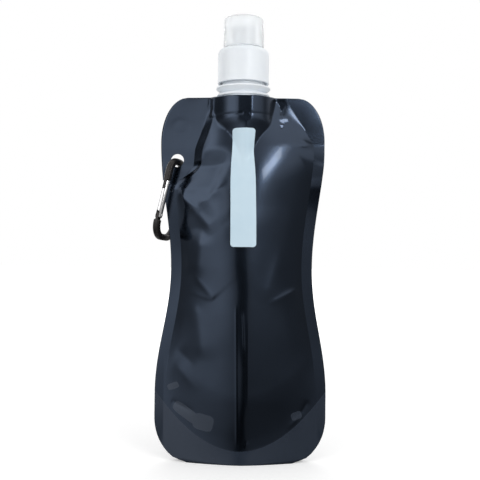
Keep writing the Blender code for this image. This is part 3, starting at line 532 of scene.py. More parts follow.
def fold_relief(x, z, fold):
    """Height of one crease over the film, in metres."""
    x0, z0, x1, z1, height, left_width, right_width, blunt = (length / 1000 for length in fold[:8])
    grow, die = fold[8:]
    length = math.hypot(x1 - x0, z1 - z0)
    way_x, way_z = (x1 - x0) / length, (z1 - z0) / length
    along = ((x - x0) * way_x + (z - z0) * way_z) / length
    aside = (z - z0) * way_x - (x - x0) * way_z
    width = np.where(aside > 0, left_width, right_width)
    distance = np.sqrt(aside * aside + blunt**2) - blunt
    fade = ease(0, grow, along) * ease(0, die, 1 - along)
    return height * fade * np.exp(-distance / width)


def ripple(x, z, seed, size, height):
    """Low uneven waves, the sum of a few seeded sines whose length is about the given size."""
    random = np.random.RandomState(seed)
    total = np.zeros_like(x)
    for _ in range(WAVE_COUNT):
        angle = random.uniform(0, math.tau)
        rate = math.tau / (size * random.uniform(*WAVE_SIZES))
        phase = random.uniform(0, math.tau)
        total += np.sin((x * math.cos(angle) + z * math.sin(angle)) * rate + phase)
    return height * total / math.sqrt(WAVE_COUNT)


def film_depth(x, z, front):
    """Distance of the creased film from the plane between the two films."""
    folds, seed = (FRONT_FOLDS, FRONT_SEED) if front else (BACK_FOLDS, BACK_SEED)
    share = x / np.where(x < 0, pocket_half(z, True), pocket_half(z, False))
    inside = ease(0, WAVE_EDGE, 1 - np.abs(share)) * ease(0.0, WAVE_EDGE_Z, z - gusset_arc(x))
    waves = ripple(x, z, seed, *LONG_WAVE) + ripple(x, z, seed + 1, *SHORT_WAVE)
    waves = waves * inside * (1 - ease(*WAVE_TOP_Z, z))
    creases = sum(fold_relief(x, z, fold) for fold in folds) * ease(0.0, FOLD_EDGE, 1 - np.abs(share))
    depth = plain_depth(x, z) + waves + creases
    for centre_x, centre_z, long_half, short_half, turn, azimuth, tilt in FRONT_FACETS if front else ():
        c, s = math.cos(math.radians(turn)), math.sin(math.radians(turn))
        along = ((x - centre_x) * c + (z - centre_z) * s) / long_half
        across = ((z - centre_z) * c - (x - centre_x) * s) / short_half
        weight = ease(*FACET_EDGE, np.hypot(along, across))
        level = depth.ravel()[np.argmin(np.hypot(x - centre_x, z - centre_z))]
        slope_x, slope_z = (-math.tan(math.radians(angle)) for angle in (azimuth, tilt))
        facet = level + slope_x * (x - centre_x) + slope_z * (z - centre_z)
        depth = depth + (facet - depth) * weight
    return np.maximum(SEAL_DEPTH, depth)


def seal_wave(x, z):
    """Shift along Y of the flat seals and ears, which both films share."""
    left = x < 0
    right_edge = np.minimum(pocket_half(z, False), smooth_through(LEAN_FROM, z))
    beyond = np.maximum(0.0, np.abs(x) - np.where(left, pocket_half(z, True), right_edge))
    lean = np.where(left, smooth_through(LEFT_LEAN, z), smooth_through(RIGHT_LEAN, z))
    wave = EAR_WAVE_HEIGHT * np.sin(math.tau * (z / EAR_WAVE_LENGTH + np.where(left, *EAR_WAVE_PLACE)))
    outside = ease(*EAR_WAVE_SHARE, np.abs(x) / half_width(z)) * ease(*EAR_WAVE_Z, z)
    dent_x, dent_z, dent_r, dent_depth, narrow = LEFT_EAR_DENT
    away = np.hypot(x - dent_x, z - dent_z) / dent_r
    dent = dent_depth * np.exp(-((away - 1) ** 2) * narrow)
    return beyond * np.tan(np.radians(lean)) * ease(*LEAN_Z, z) + wave * outside + dent


# Meshes

def add_object(name, data):
    """An object of the scene."""
    obj = bpy.data.objects.new(name, data)
    bpy.context.scene.collection.objects.link(obj)
    return obj


def smooth_object(name, mesh, material, smooth_angle):
    """An object of a mesh that is smooth except at its sharp edges."""
    mesh.shade_smooth()
    mesh.set_sharp_from_angle(angle=math.radians(smooth_angle))
    mesh.materials.append(material)
    return add_object(name, mesh)


def add_mesh(name, verts, faces, material, smooth_angle=40):
    """An object from vertices and faces."""
    mesh = bpy.data.meshes.new(name)
    mesh.from_pydata([tuple(v) for v in verts], [], faces)
    mesh.validate()
    return smooth_object(name, mesh, material, smooth_angle)


def grid_faces(rows, columns, flip=False):
    """Quads of a grid whose vertices run along its rows."""
    faces = []
    for j in range(rows - 1):
        for i in range(columns - 1):
            a = j * columns + i
            face = (a, a + 1, a + columns + 1, a + columns)
            faces.append(face[::-1] if flip else face)
    return faces


def thicken(obj, thickness):
    """Give a sheet its thickness, half to each side."""
    modifier = obj.modifiers.new("thickness", "SOLIDIFY")
    modifier.thickness = thickness
    modifier.offset = 0
    modifier.use_even_offset = True


def dress(obj, body, slot, *nodes):
    """Let a piece ride on a body and stand for its CAD nodes."""
    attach(obj, body)
    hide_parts(*nodes)


def film_grid():
    """Places (x, z) of a film panel's vertices, with columns on the seal edges and a row on the arc."""
    seal = np.arange(SEAL_COLUMNS) / SEAL_COLUMNS
    even = np.arange(POCKET_COLUMNS) / POCKET_COLUMNS
    pocket = even - COLUMN_CROWDING * np.sin(2 * math.tau * even) / (2 * math.tau)

    def columns(z):
        """X of every column at heights z, one height for each column."""
        half = half_width(z)
        left, right = (np.minimum(pocket_half(z, side), POCKET_SHARE * half) for side in (True, False))
        stages = np.concatenate([seal, 1 + pocket, 2 + seal, [3.0]])
        return np.select(
            [stages < 1, stages < 2],
            [-half + (half - left) * stages, -left + (left + right) * (stages - 1)],
            right + (half - right) * (stages - 2),
        )

    count = 2 * SEAL_COLUMNS + POCKET_COLUMNS + 1
    arc = np.full(count, GUSSET_ARC_LOW_Z)
    for _ in range(ARC_PASSES):
        arc = 0.5 * (arc + gusset_arc(columns(arc)))
    rows = [arc * j / FOOT_ROWS for j in range(FOOT_ROWS)]
    rows += [arc + (HIP_BLOCK_Z - arc) * j / HIP_ROWS for j in range(HIP_ROWS)]
    for j in range(BODY_ROWS + 1):
        even = j / BODY_ROWS
        crowded = even * (1 + BODY_CROWDING * (1 - even))
        rows.append(np.full(count, HIP_BLOCK_Z + (FILM_TOP_Z - HIP_BLOCK_Z) * crowded))
    heights = np.array(rows)
    places = np.array([columns(row) for row in heights])
    heights = heights - (FILM_TOP_Z - film_top(places)) * ease(COLLAR_Z, FILM_TOP_Z, heights)
    return places, heights


def apply_modifiers(obj):
    """Replace an object's mesh by what its modifiers make of it."""
    depsgraph = bpy.context.evaluated_depsgraph_get()
    made = bpy.data.meshes.new_from_object(obj.evaluated_get(depsgraph), depsgraph=depsgraph)
    obj.modifiers.clear()
    obj.data = made


def make_film_panel(name, front, material):
    """One film panel with its creases, seals and hook hole."""
    x, z = film_grid()
    side = -1 if front else 1
    y = side * film_depth(x, z, front) + seal_wave(x, z)
    verts = np.stack([x, y, z], axis=-1).reshape(-1, 3)
    rows, columns = x.shape
    panel = add_mesh(name, verts, grid_faces(rows, columns, flip=not front), material, FILM_ANGLE)
    thicken(panel, SHEET)
    hole = circle(HOLE_R, HOLE_STEPS, (HOLE_X, HOLE_Z))
    combine(panel, prism(hole, -HOLE_REACH, HOLE_REACH, axis="Y"), "DIFFERENCE", shade=False)
    return panel


def make_gusset(name, material):
    """The folded bottom film: a leaf behind each lower seal and a roof between them."""
    leaf = SEAL_DEPTH + SHEET + LEAF_GAP
    foot_half = HIP_HALF - FOOT_CORNER_WIDTH
    ridge_z = GUSSET_FOLD_Z + FILM
    verts = []
    for i in range(GUSSET_COLUMNS + 1):
        x = GUSSET_SHARE * GUSSET_HALF * (2 * i / GUSSET_COLUMNS - 1)
        arc_z = float(gusset_arc(x))
        beyond = (abs(x) - foot_half) / FOOT_CORNER_WIDTH
        edge_z = FOOT_CORNER_HEIGHT * float(round_corner(beyond)) + GUSSET_LIFT
        open_foot = float(open_foot_depth(x, arc_z))
        foot = open_foot - leaf if open_foot > 3 * leaf else GUSSET_NARROW * open_foot
        column = [(-foot, edge_z), (-foot, 0.5 * (edge_z + arc_z))]
        for k in range(GUSSET_ROOF_ROWS + 1):
            t = k / GUSSET_ROOF_ROWS
            place = (-foot * (1 - t) ** ROOF_POWERS[0], arc_z + (ridge_z - arc_z) * t ** ROOF_POWERS[1])
            column.append(place)
        column += [(-y, height) for y, height in reversed(column[:-1])]
        verts += [(x, y, height) for y, height in column]
    faces = grid_faces(GUSSET_COLUMNS + 1, len(verts) // (GUSSET_COLUMNS + 1))
    gusset = add_mesh(name, verts, faces, material, GUSSET_ANGLE)
    thicken(gusset, SHEET)
    return gusset


# The label's middle line and half width by height
LABEL_MIDDLE = (
    (LABEL_LOW_Z, 0.0009), (0.1700, 0.0004), (0.1820, 0.0002), (LABEL_HIGH_Z, 0.0007),
)
LABEL_HALF = (
    (LABEL_LOW_Z, 0.0074), (0.1640, 0.0073), (0.1740, 0.0069), (0.1860, 0.0062),
    (LABEL_HIGH_Z, 0.0066),
)


def make_label(name, material):
    """The blank label strip with round corners, on the creased film."""
    verts = []
    off = SHEET / 2 + LABEL_SHEET / 2 + LABEL_GAP
    step = SLOPE_STEP
    for j in range(LABEL_ROWS + 1):
        z = LABEL_LOW_Z + (LABEL_HIGH_Z - LABEL_LOW_Z) * 0.5 * (1 - math.cos(math.pi * j / LABEL_ROWS))
        short = max(0.0, LABEL_CORNER_R - min(z - LABEL_LOW_Z, LABEL_HIGH_Z - z))
        corner = math.sqrt(max(0.0, LABEL_CORNER_R**2 - short**2))
        half = float(smooth_through(LABEL_HALF, z)) - LABEL_CORNER_R + corner
        middle = float(smooth_through(LABEL_MIDDLE, z))
        x = middle + half * np.sin(np.linspace(-1, 1, LABEL_COLUMNS + 1) * math.pi / 2)
        heights = np.full(LABEL_COLUMNS + 1, z)
        slope_x = (film_depth(x + step, heights, True) - film_depth(x - step, heights, True)) / (2 * step)
        slope_z = (film_depth(x, heights + step, True) - film_depth(x, heights - step, True)) / (2 * step)
        length = np.sqrt(1 + slope_x**2 + slope_z**2)
        y = -film_depth(x, heights, True) - off / length
        verts += list(np.stack([x - off * slope_x / length, y, heights - off * slope_z / length], axis=-1))
    label = add_mesh(name, verts, grid_faces(LABEL_ROWS + 1, LABEL_COLUMNS + 1), material)
    thicken(label, LABEL_SHEET)
    return label


# Hard parts: helpers

def solid(name, bm, material, matrix=None):
    """A closed object from a bmesh."""
    bmesh.ops.recalc_face_normals(bm, faces=bm.faces)
    mesh = bpy.data.meshes.new(name)
    bm.to_mesh(mesh)
    bm.free()
    if matrix:
        mesh.transform(matrix)
    return smooth_object(name, mesh, material, HARD_ANGLE)


def combine(obj, bm, operation, matrix=None, shade=True):
    """Join or cut an object with a shape; without shade, it keeps its shading and the cut is flat."""
    tool = solid("tool", bm, obj.data.materials[0], matrix)
    if not shade:
        tool.data.shade_flat()
    modifier = obj.modifiers.new("combine", "BOOLEAN")
    modifier.operation = operation
    modifier.solver = "EXACT"
    modifier.object = tool
    apply_modifiers(obj)
    bpy.data.objects.remove(tool)
    if shade:
        obj.data.shade_smooth()
        obj.data.set_sharp_from_angle(angle=math.radians(HARD_ANGLE))


def circle(radius, steps, centre=(0, 0)):
    """Points round a circle, starting half a step round."""
    angles = [math.tau * (i + 0.5) / steps for i in range(steps)]
    return [(centre[0] + radius * math.cos(a), centre[1] + radius * math.sin(a)) for a in angles]


def lathe(profile, steps=LATHE_STEPS, closed=True):
    """A solid of revolution about Z; an open profile starts and ends on the axis."""
    bm = bmesh.new()
    rings = []
    for radius, z in profile:
        places = circle(radius, steps) if radius >= TINY else [(0, 0)]
        rings.append([bm.verts.new((x, y, z)) for x, y in places])
    pairs = list(zip(rings, rings[1:]))
    if closed:
        pairs.append((rings[-1], rings[0]))
    for low, high in pairs:
        for i in range(steps):
            j = (i + 1) % steps
            corners = [low[i], low[j]] if len(low) > 1 else [low[0]]
            corners += [high[j], high[i]] if len(high) > 1 else [high[0]]
            bm.faces.new(corners)
    return bm


def tube_of_rings(rings):
    """A closed solid through rings of places, with flat ends."""
    bm = bmesh.new()
    loops = [[bm.verts.new(place) for place in ring] for ring in rings]
    count = len(loops[0])
    for low, high in zip(loops, loops[1:]):
        for i in range(count):
            j = (i + 1) % count
            bm.faces.new((low[i], low[j], high[j], high[i]))
    bm.faces.new(loops[0][::-1])
    bm.faces.new(loops[-1])
    return bm


def prism(outline, low, high, axis="Z"):
    """A closed prism over an outline, along Z or along Y."""
    if axis == "Z":
        return tube_of_rings([[(x, y, end) for x, y in outline] for end in (low, high)])
    return tube_of_rings([[(x, end, z) for x, z in outline] for end in (low, high)])


def rectangle(x_low, x_high, y_half):
    """Corners of a rectangle that lies evenly about the X axis."""
    return [(x_low, -y_half), (x_high, -y_half), (x_high, y_half), (x_low, y_half)]


def fillet(corners, closed=False, steps=5):
    """An outline whose corners (x, y, radius) are rounded by arcs."""
    points = []
    last = len(corners) - 1
    for i, (x, y, radius) in enumerate(corners):
        corner = Vector((x, y))
        if radius < TINY or not (closed or 0 < i < last):
            points.append((x, y))
            continue
        before = Vector(corners[i - 1][:2])
        after = Vector(corners[(i + 1) % (last + 1)][:2])
        way_in = (before - corner).normalized()
        way_out = (after - corner).normalized()
        half_angle = 0.5 * way_in.angle(way_out)
        centre = corner + (way_in + way_out).normalized() * radius / math.sin(half_angle)
        reach = radius / math.tan(half_angle)
        start = corner + way_in * reach - centre
        end = corner + way_out * reach - centre
        sweep = start.angle(end)
        for k in range(steps + 1):
            t = k / steps
            arm = (start * math.sin((1 - t) * sweep) + end * math.sin(t * sweep)) / math.sin(sweep)
            points.append(tuple(centre + arm))
    return points


def turned(name, corners, material, matrix=None, steps=LATHE_STEPS, closed=True, arc_steps=5):
    """A turned piece from the corners (radius, z, rounding) of its profile."""
    return solid(name, lathe(fillet(corners, closed, arc_steps), steps, closed), material, matrix)


def thread_ridge(root_r, crest_r, start_z):
    """A helical ridge with run-out ends; root_r lies inside the wall that it joins."""
    steps = round(THREAD_TURNS * LATHE_STEPS)
    rings = []
    for i in range(steps + 1):
        angle = math.tau * THREAD_TURNS * i / steps
        z = start_z + THREAD_PITCH * THREAD_TURNS * i / steps
        fade = min(1.0, (1 + min(i, steps - i)) / RUN_OUT_STEPS)
        crest = root_r + (crest_r - root_r) * fade
        ring = (
            (root_r, -THREAD_ROOT_HALF), (crest, -THREAD_CREST_HALF),
            (crest, THREAD_CREST_HALF), (root_r, THREAD_ROOT_HALF),
        )
        rings.append([(r * math.cos(angle), r * math.sin(angle), z + offset) for r, offset in ring])
    return tube_of_rings(rings)


# Spout and caps

def make_spout(material):
    """The moulded spout: ribbed weld base, tube, oval and round flange, and the neck thread."""
    spout = turned("spout_body", [
        (BORE_R, COLLAR_Z, 0.0003),
        (NECK_R, COLLAR_Z, 0.0003),
        (NECK_R, UPPER_FLANGE_Z - UPPER_FLANGE_BOWL, 0.0006),
        (UPPER_FLANGE_R - 0.0012, UPPER_FLANGE_Z - 0.0006, 0.0010),
        (UPPER_FLANGE_R, UPPER_FLANGE_Z + 0.0002, 0.0003),
        (UPPER_FLANGE_R, UPPER_FLANGE_Z + UPPER_FLANGE_EDGE, 0.0003),
        (NECK_R, NECK_FOOT_Z, 0.0008),
        (NECK_R, RIM_Z, 0.0005),
        (BORE_R, RIM_Z, 0.0004),
    ], material)

    rings = []
    half = BASE_STEPS
    levels = 2 * BASE_RIBS + 1
    for level in range(levels):
        for edge, rounding in RIB_EDGES:
            inset = rounding + (BASE_RIB_DEPTH if level % 2 else 0.0)
            z = COLLAR_Z + BASE_HEIGHT * (level + edge) / levels
            ring = []
            for i in range(2 * half):
                along = -1 + 2 * (i if i <= half else 2 * half - i) / half
                side = -1 if i <= half else 1
                depth = side * float(base_depth(along, 1, BASE_HALF_DEPTH - inset))
                ring.append((along * (BASE_HALF_LENGTH - inset), depth, z))
            rings.append(ring)
    combine(spout, tube_of_rings(rings), "UNION")

    rings = []
    for share, inset in FLANGE_EDGES:
        z = LOWER_FLANGE_Z + LOWER_FLANGE_THICK * share
        long_half = LOWER_FLANGE_HALF_LENGTH - inset
        deep_half = NECK_R + LOWER_FLANGE_PAST_NECK - inset
        rings.append([(x * long_half, y * deep_half, z) for x, y in circle(1.0, LATHE_STEPS)])
    combine(spout, tube_of_rings(rings), "UNION")

    combine(spout, thread_ridge(NECK_R - EMBED, NECK_R + THREAD_DEPTH, THREAD_Z), "UNION")
    bore = prism(circle(BORE_R, LATHE_STEPS), COLLAR_Z - BASE_HEIGHT, RIM_Z + BASE_HEIGHT)
    combine(spout, bore, "DIFFERENCE")
    return spout


def make_screw_cap(material):
    """The screw cap: threaded skirt with a soft shoulder, seat for the dust cap, post and plug."""
    step_r = DUST_CAP_R - DUST_CAP_WALL - GAP
    bead_z = NOZZLE_Z + NOZZLE_LIP + NOZZLE_TRAVEL + GAP
    cap = turned("cap_body", [
        (CAP_INNER_R, PLATE_Z, 0.0003),
        (CAP_INNER_R, SKIRT_Z, 0.0003),
        (CAP_R, SKIRT_Z, 0.0004),
        (CAP_R, CAP_TOP_Z, CAP_SHOULDER_R * 0.97),
        (step_r, CAP_TOP_Z, 0.0003),
        (step_r, STEP_Z, 0.0004),
        (POST_R, STEP_Z, 0.0003),
        (POST_R, bead_z, 0.0002),
        (POST_R + POST_BEAD, bead_z + POST_BEAD, 0.0002),
        (POST_R, bead_z + 3 * POST_BEAD, 0.0002),
        (POST_R, POST_TOP_Z, 0.0003),
        (POST_BORE_R, POST_TOP_Z, 0.0002),
        (POST_BORE_R, PLATE_Z, 0.0003),
    ], material, arc_steps=10)
    ridge = thread_ridge(CAP_INNER_R + EMBED, NECK_R + LOOSE_GAP, THREAD_Z - THREAD_PITCH / 2)
    combine(cap, ridge, "UNION")
    arm_z = POST_TOP_Z - ARM_THICK
    reach = POST_BORE_R + EMBED
    for turn in range(ARMS):
        arm = prism(rectangle(0, reach, ARM_WIDTH / 2), arm_z, POST_TOP_Z - 0.0001)
        combine(cap, arm, "UNION", Matrix.Rotation(math.tau * turn / ARMS, 4, "Z"))
    plug_top = NOZZLE_TOP_Z - GAP
    plug = fillet([
        (0, arm_z - GAP, 0),
        (PLUG_R, arm_z - GAP, 0.0003),
        (PLUG_R, plug_top, 0.0006),
        (0, plug_top, 0),
    ])
    combine(cap, lathe(plug, PLUG_STEPS, closed=False), "UNION")
    return cap


def make_nozzle(material):
    """The push-pull nozzle with its grip rim, pushed down and closed on the plug."""
    low, high = NOZZLE_Z, NOZZLE_TOP_Z
    lip_r = POST_R + GAP
    bore_r = POST_R + POST_BEAD + GAP
    return turned("nozzle_body", [
        (lip_r, low, 0.0002),
        (NOZZLE_R, low, 0.0003),
        (NOZZLE_R, low + 0.0016, 0.0004),
        (NOZZLE_R - 0.0004, low + 0.0022, 0.0004),
        (NOZZLE_R - 0.0006, high - 0.0036, 0.0006),
        (NOZZLE_R, high - 0.0028, 0.0006),
        (NOZZLE_R, high, 0.0012),
        (NOZZLE_HOLE_R, high, 0.0004),
        (NOZZLE_HOLE_R, high - NOZZLE_TOP, 0.0002),
        (bore_r, high - NOZZLE_TOP, 0.0002),
        (bore_r, low + NOZZLE_LIP, 0.0002),
        (lip_r, low + NOZZLE_LIP, 0.0002),
    ], material)


def make_dust_cap(material):
    """The clear over-cap, open at its base, with a rounded top edge."""
    top_r = DUST_CAP_R - DUST_CAP_TAPER
    wall = DUST_CAP_WALL
    return turned("dust_cap_shell", [
        (0, DUST_CAP_TOP_Z, 0),
        (top_r, DUST_CAP_TOP_Z, DUST_CAP_EDGE_R),
        (DUST_CAP_R, DUST_CAP_Z, 0.0003),
        (DUST_CAP_R - wall, DUST_CAP_Z, 0.0003),
        (top_r - wall, DUST_CAP_TOP_Z - wall, 0.0008),
        (0, DUST_CAP_TOP_Z - wall, 0),
    ], material, closed=False, arc_steps=8)


# Snap hook

def gate_line(depth):
    """Place on the gate's centre line at a depth below the hook's top, in the hook's own plane."""
    return Vector((HOOK_TOP_GATE_SIDE + math.tan(GATE_LEAN) * depth, -depth))


def hook_matrix():
    """Place of the hook's own frame: X toward the gate, Y across its plane, Z up."""
    turn = Matrix.Rotation(HOOK_TILT, 4, "Y") @ Matrix.Rotation(HOOK_TURN, 4, "Z")
    return Matrix.Translation(HOOK_POINT) @ turn


def gate_matrix():
    """Place of the gate's own frame: Z along the gate, up from its rivet."""
    rivet = gate_line(RIVET_DEPTH)
    lean = Matrix.Rotation(-GATE_LEAN, 4, "Y")
    return hook_matrix() @ Matrix.Translation((rivet.x, 0, rivet.y)) @ lean


def make_hook_frame(material):
    """The bent frame of the snap hook, with a tang at each end for the gate."""
    rivet = gate_line(RIVET_DEPTH)
    gate_way = Vector((-math.sin(GATE_LEAN), math.cos(GATE_LEAN)))
    low_gate, top_gate = gate_line(HOOK_LENGTH), gate_line(0)
    foot = rivet - gate_way * TANG_ROOT
    nose = rivet + gate_way * (GATE_TIP + GAP)
    corners = [
        (foot.x, foot.y, 0),
        (low_gate.x, low_gate.y, HOOK_LOW_BEND_R),
        (-HOOK_LOW_SPINE_SIDE, -HOOK_LENGTH, HOOK_LOW_BEND_R),
        (-HOOK_TOP_SPINE_SIDE, 0, HOOK_TOP_BEND_R),
        (top_gate.x, top_gate.y, HOOK_TOP_BEND_R),
        (nose.x, nose.y, 0),
    ]
    path = [Vector(point) for point in fillet(corners, steps=20)]
    wide, thick = WIRE_WIDTH / 2, WIRE_THICK / 2
    section = fillet([
        (wide, -thick, HOOK_EDGE_R),
        (wide, thick, HOOK_EDGE_R),
        (-wide, thick, HOOK_EDGE_R),
        (-wide, -thick, HOOK_EDGE_R),
    ], closed=True, steps=6)
    rings = []
    for i, point in enumerate(path):
        way_in = (point - path[i - 1]).normalized() if i else Vector((0, 0))
        way_out = (path[i + 1] - point).normalized() if i < len(path) - 1 else Vector((0, 0))
        way = (way_in + way_out).normalized()
        side = Vector((-way.y, way.x))
        places = [(point + side * across, out) for across, out in section]
        rings.append([(place.x, out, place.y) for place, out in places])
    frame_piece = solid("hook_frame_body", tube_of_rings(rings), material, hook_matrix())

    gate = gate_matrix()
    half = TANG_HALF_WIDTH
    side_y = TANG_THICK / 2
    root = -TANG_ROOT - 2 * EMBED
    hinge_tang = fillet([
        (-half, root, 0),
        (half, root, 0),
        (half, TANG_TOP, 0.0012),
        (-half, TANG_TOP, 0.0012),
    ], closed=True)
    shape = prism(hinge_tang, -side_y, side_y, axis="Y")
    combine(frame_piece, shape, "UNION", gate)
    hole = prism(circle(RIVET_R + PIN_SLACK, PIN_STEPS), -WIRE_THICK, WIRE_THICK, axis="Y")
    combine(frame_piece, hole, "DIFFERENCE", gate)

    latch_z = GATE_TIP - LATCH_BELOW_TIP
    catch_r = PIN_R + GAP
    catch = []
    for i in range(CATCH_STEPS + 1):
        angle = math.pi * (0.5 - i / CATCH_STEPS)
        catch.append((catch_r * math.cos(angle), latch_z + catch_r * math.sin(angle)))
    nose_tang = [
        (-half, latch_z + catch_r),
        *catch,
        (-half, latch_z - catch_r),
        (-half, GATE_TIP - NOSE_TANG),
        (half, GATE_TIP - NOSE_TANG),
        (half, GATE_TIP + GAP + 2 * EMBED),
        (-half, GATE_TIP + GAP + 2 * EMBED),
    ]
    shape = prism(nose_tang, -side_y, side_y, axis="Y")
    combine(frame_piece, shape, "UNION", gate)
    return frame_piece


def make_gate(material):
    """The tubular gate: slotted at both ends and bored for its spring."""
    gate = gate_matrix()
    tube = turned("gate_tube", [
        (0, GATE_TIP, 0),
        (GATE_R, GATE_TIP, 0.0005),
        (GATE_R, -GATE_FOOT, 0.0005),
        (0, -GATE_FOOT, 0),
    ], material, gate, steps=GATE_STEPS, closed=False)
    reach = 2 * GATE_R
    cutters = []
    for low, high in (
        (GATE_TIP - NOSE_TANG - GAP, GATE_TIP + reach),
        (-GATE_FOOT - reach, TANG_TOP + 2 * GAP),
    ):
        cutters.append(prism(rectangle(-reach, reach, SLOT_HALF), low, high))
    cutters.append(prism(circle(GATE_BORE_R, BORE_STEPS), -GATE_FOOT - reach, GATE_BORE_DEPTH - GATE_FOOT))
    for radius, height in ((RIVET_R, 0), (PIN_R, GATE_TIP - LATCH_BELOW_TIP)):
        cutters.append(prism(circle(radius + PIN_SLACK, PIN_STEPS, (0, height)), -reach, reach, axis="Y"))
    for cutter in cutters:
        combine(tube, cutter, "DIFFERENCE", gate)
    return tube


def make_cross_pin(name, material, radius, length, height):
    """A pin across the gate, with domed ends."""
    place = gate_matrix() @ Matrix.Translation((0, 0, height)) @ Matrix.Rotation(math.pi / 2, 4, "X")
    return turned(name, [
        (0, length, 0),
        (radius, length, radius * PIN_DOME),
        (radius, -length, radius * PIN_DOME),
        (0, -length, 0),
    ], material, place, steps=PIN_STEPS, closed=False)


# Node trees

class Network:
    """A node tree that is built up step by step."""

    def __init__(self, owner, keep=False):
        owner.use_nodes = True
        self.nodes = owner.node_tree.nodes
        self.links = owner.node_tree.links
        if not keep:
            self.nodes.clear()

    def add(self, kind, sockets=(), **settings):
        """A new node; each socket named gets a plain value or another node's output."""
        node = self.nodes.new("ShaderNode" + kind)
        for key, value in settings.items():
            setattr(node, key, value)
        for socket, value in dict(sockets).items():
            if isinstance(value, bpy.types.NodeSocket):
                self.links.new(value, node.inputs[socket])
            else:
                node.inputs[socket].default_value = value
        return node

    def place(self):
        """Coordinates of the object itself, in metres."""
        return self.add("TexCoord").outputs["Object"]

    def split(self):
        """The object's X, Y and Z coordinates, by name."""
        return self.add("SeparateXYZ", {"Vector": self.place()}).outputs

    def math(self, operation, *values):
        """The result of a Math node."""
        return self.add("Math", enumerate(values), operation=operation).outputs["Value"]

    def between(self, value, low, high, at_low=0.0, at_high=1.0, **settings):
        """A number that runs from at_low to at_high as a value runs from low to high."""
        sockets = {"Value": value, "From Min": low, "From Max": high, "To Min": at_low, "To Max": at_high}
        return self.add("MapRange", sockets, **settings).outputs["Result"]

    def mixed(self, share, first, second, **settings):
        """A colour between two colours."""
        sockets = {"Factor": share, "A": first, "B": second}
        return self.add("Mix", sockets, data_type="RGBA", **settings).outputs["Result"]

    def ramp(self, value, stops):
        """Colours or greys between stops of (place, colour)."""
        node = self.add("ValToRGB", {"Fac": value})
        elements = node.color_ramp.elements
        while len(elements) < len(stops):
            elements.new(0.5)
        for element, (place, colour) in zip(elements, stops):
            element.position = place
            colour = (colour, colour, colour) if isinstance(colour, float) else colour
            element.color = (*colour, 1.0)
        return node.outputs["Color"]

    def seen_directly(self):
        """1 for rays from the camera, from a glossy surface or through glass, else 0."""
        rays = self.add("LightPath").outputs
        straight = self.math("MAXIMUM", rays["Is Camera Ray"], rays["Is Glossy Ray"])
        return self.math("MAXIMUM", straight, rays["Is Transmission Ray"])


class Paint(Network):
    """A Principled material with detail that varies over its surface."""

    def __init__(self, name, **values):
        self.material = bpy.data.materials.new(name)
        super().__init__(self.material, keep=True)
        self.shader = self.nodes["Principled BSDF"]
        for key, value in values.items():
            socket = key.replace("_", " ").title().replace("Ior", "IOR")
            self.shader.inputs[socket].default_value = value

    def give(self, socket, value):
        """Let an output drive a socket of the shader."""
        self.links.new(value, self.shader.inputs[socket])

    def noise(self, scale, detail, stretch=(1, 1, 1)):
        """Uneven values over the surface, stretched by a scale for each axis."""
        place = self.place()
        if stretch != (1, 1, 1):
            place = self.add("Mapping", {"Vector": place, "Scale": stretch}).outputs["Vector"]
        sockets = {"Vector": place, "Scale": scale, "Detail": detail}
        return self.add("TexNoise", sockets).outputs["Fac"]

    def clouded(self, noise, low, high):
        """Colours or greys that go from low to high over the middle of a noise's range."""
        return self.ramp(noise, ((NOISE_LOW, low), (NOISE_HIGH, high)))

    def vary(self, socket, noise, low, high):
        """Let a socket vary between two colours or numbers with a noise."""
        self.give(socket, self.clouded(noise, low, high))

    def bump(self, noise, distance, strength):
        """Raise the surface by a noise, in metres."""
        bump = self.add("Bump", {"Height": noise, "Distance": distance, "Strength": strength})
        self.give("Normal", bump.outputs["Normal"])


# Materials

NOISE_LOW = 0.3
NOISE_HIGH = 0.7

# Film colours for the low and high ends of its clouds: plain, welded, and a lighter colour that paints
# highlights where the gusset presses on the film and paints glints
FILM_PLAIN = ((0.0262, 0.0380, 0.0600), (0.0310, 0.0443, 0.0690))
FILM_WELDED = ((0.0222, 0.0330, 0.0540), (0.0268, 0.0390, 0.0625))
FILM_PRESSED_HIGHLIGHT = ((0.0345, 0.0465, 0.0700), (0.0400, 0.0535, 0.0785))

# Duller patches where the gusset presses on the film; their lighter colour is painted highlight, and the
# small ones are painted glints: centre (x, z), half sizes and turn in degrees
FRONT_HIGHLIGHT_PATCHES = (
    (-0.0215, 0.0243, 0.0060, 0.0050, 12.0), (-0.0315, 0.0292, 0.0090, 0.0034, 33.0),
    (-0.0397, 0.0447, 0.0036, 0.0019, -24.0), (0.0334, 0.0280, 0.0032, 0.0024, -15.0),
)
BACK_HIGHLIGHT_PATCHES = (
    (0.0250, 0.0260, 0.0075, 0.0032, -15.0), (0.0385, 0.0420, 0.0030, 0.0018, 24.0),
)

# Where the painted highlight patches and the weld fade out, and how a weld, like those patches, differs from
# the plain film
PATCH_EDGE = (1.08, 0.92)
WELD_EDGE = 0.0003
WELD_METALLIC = 0.60
WELD_DULLER = 0.10
FILM_ROUGHNESS = (0.17, 0.22)


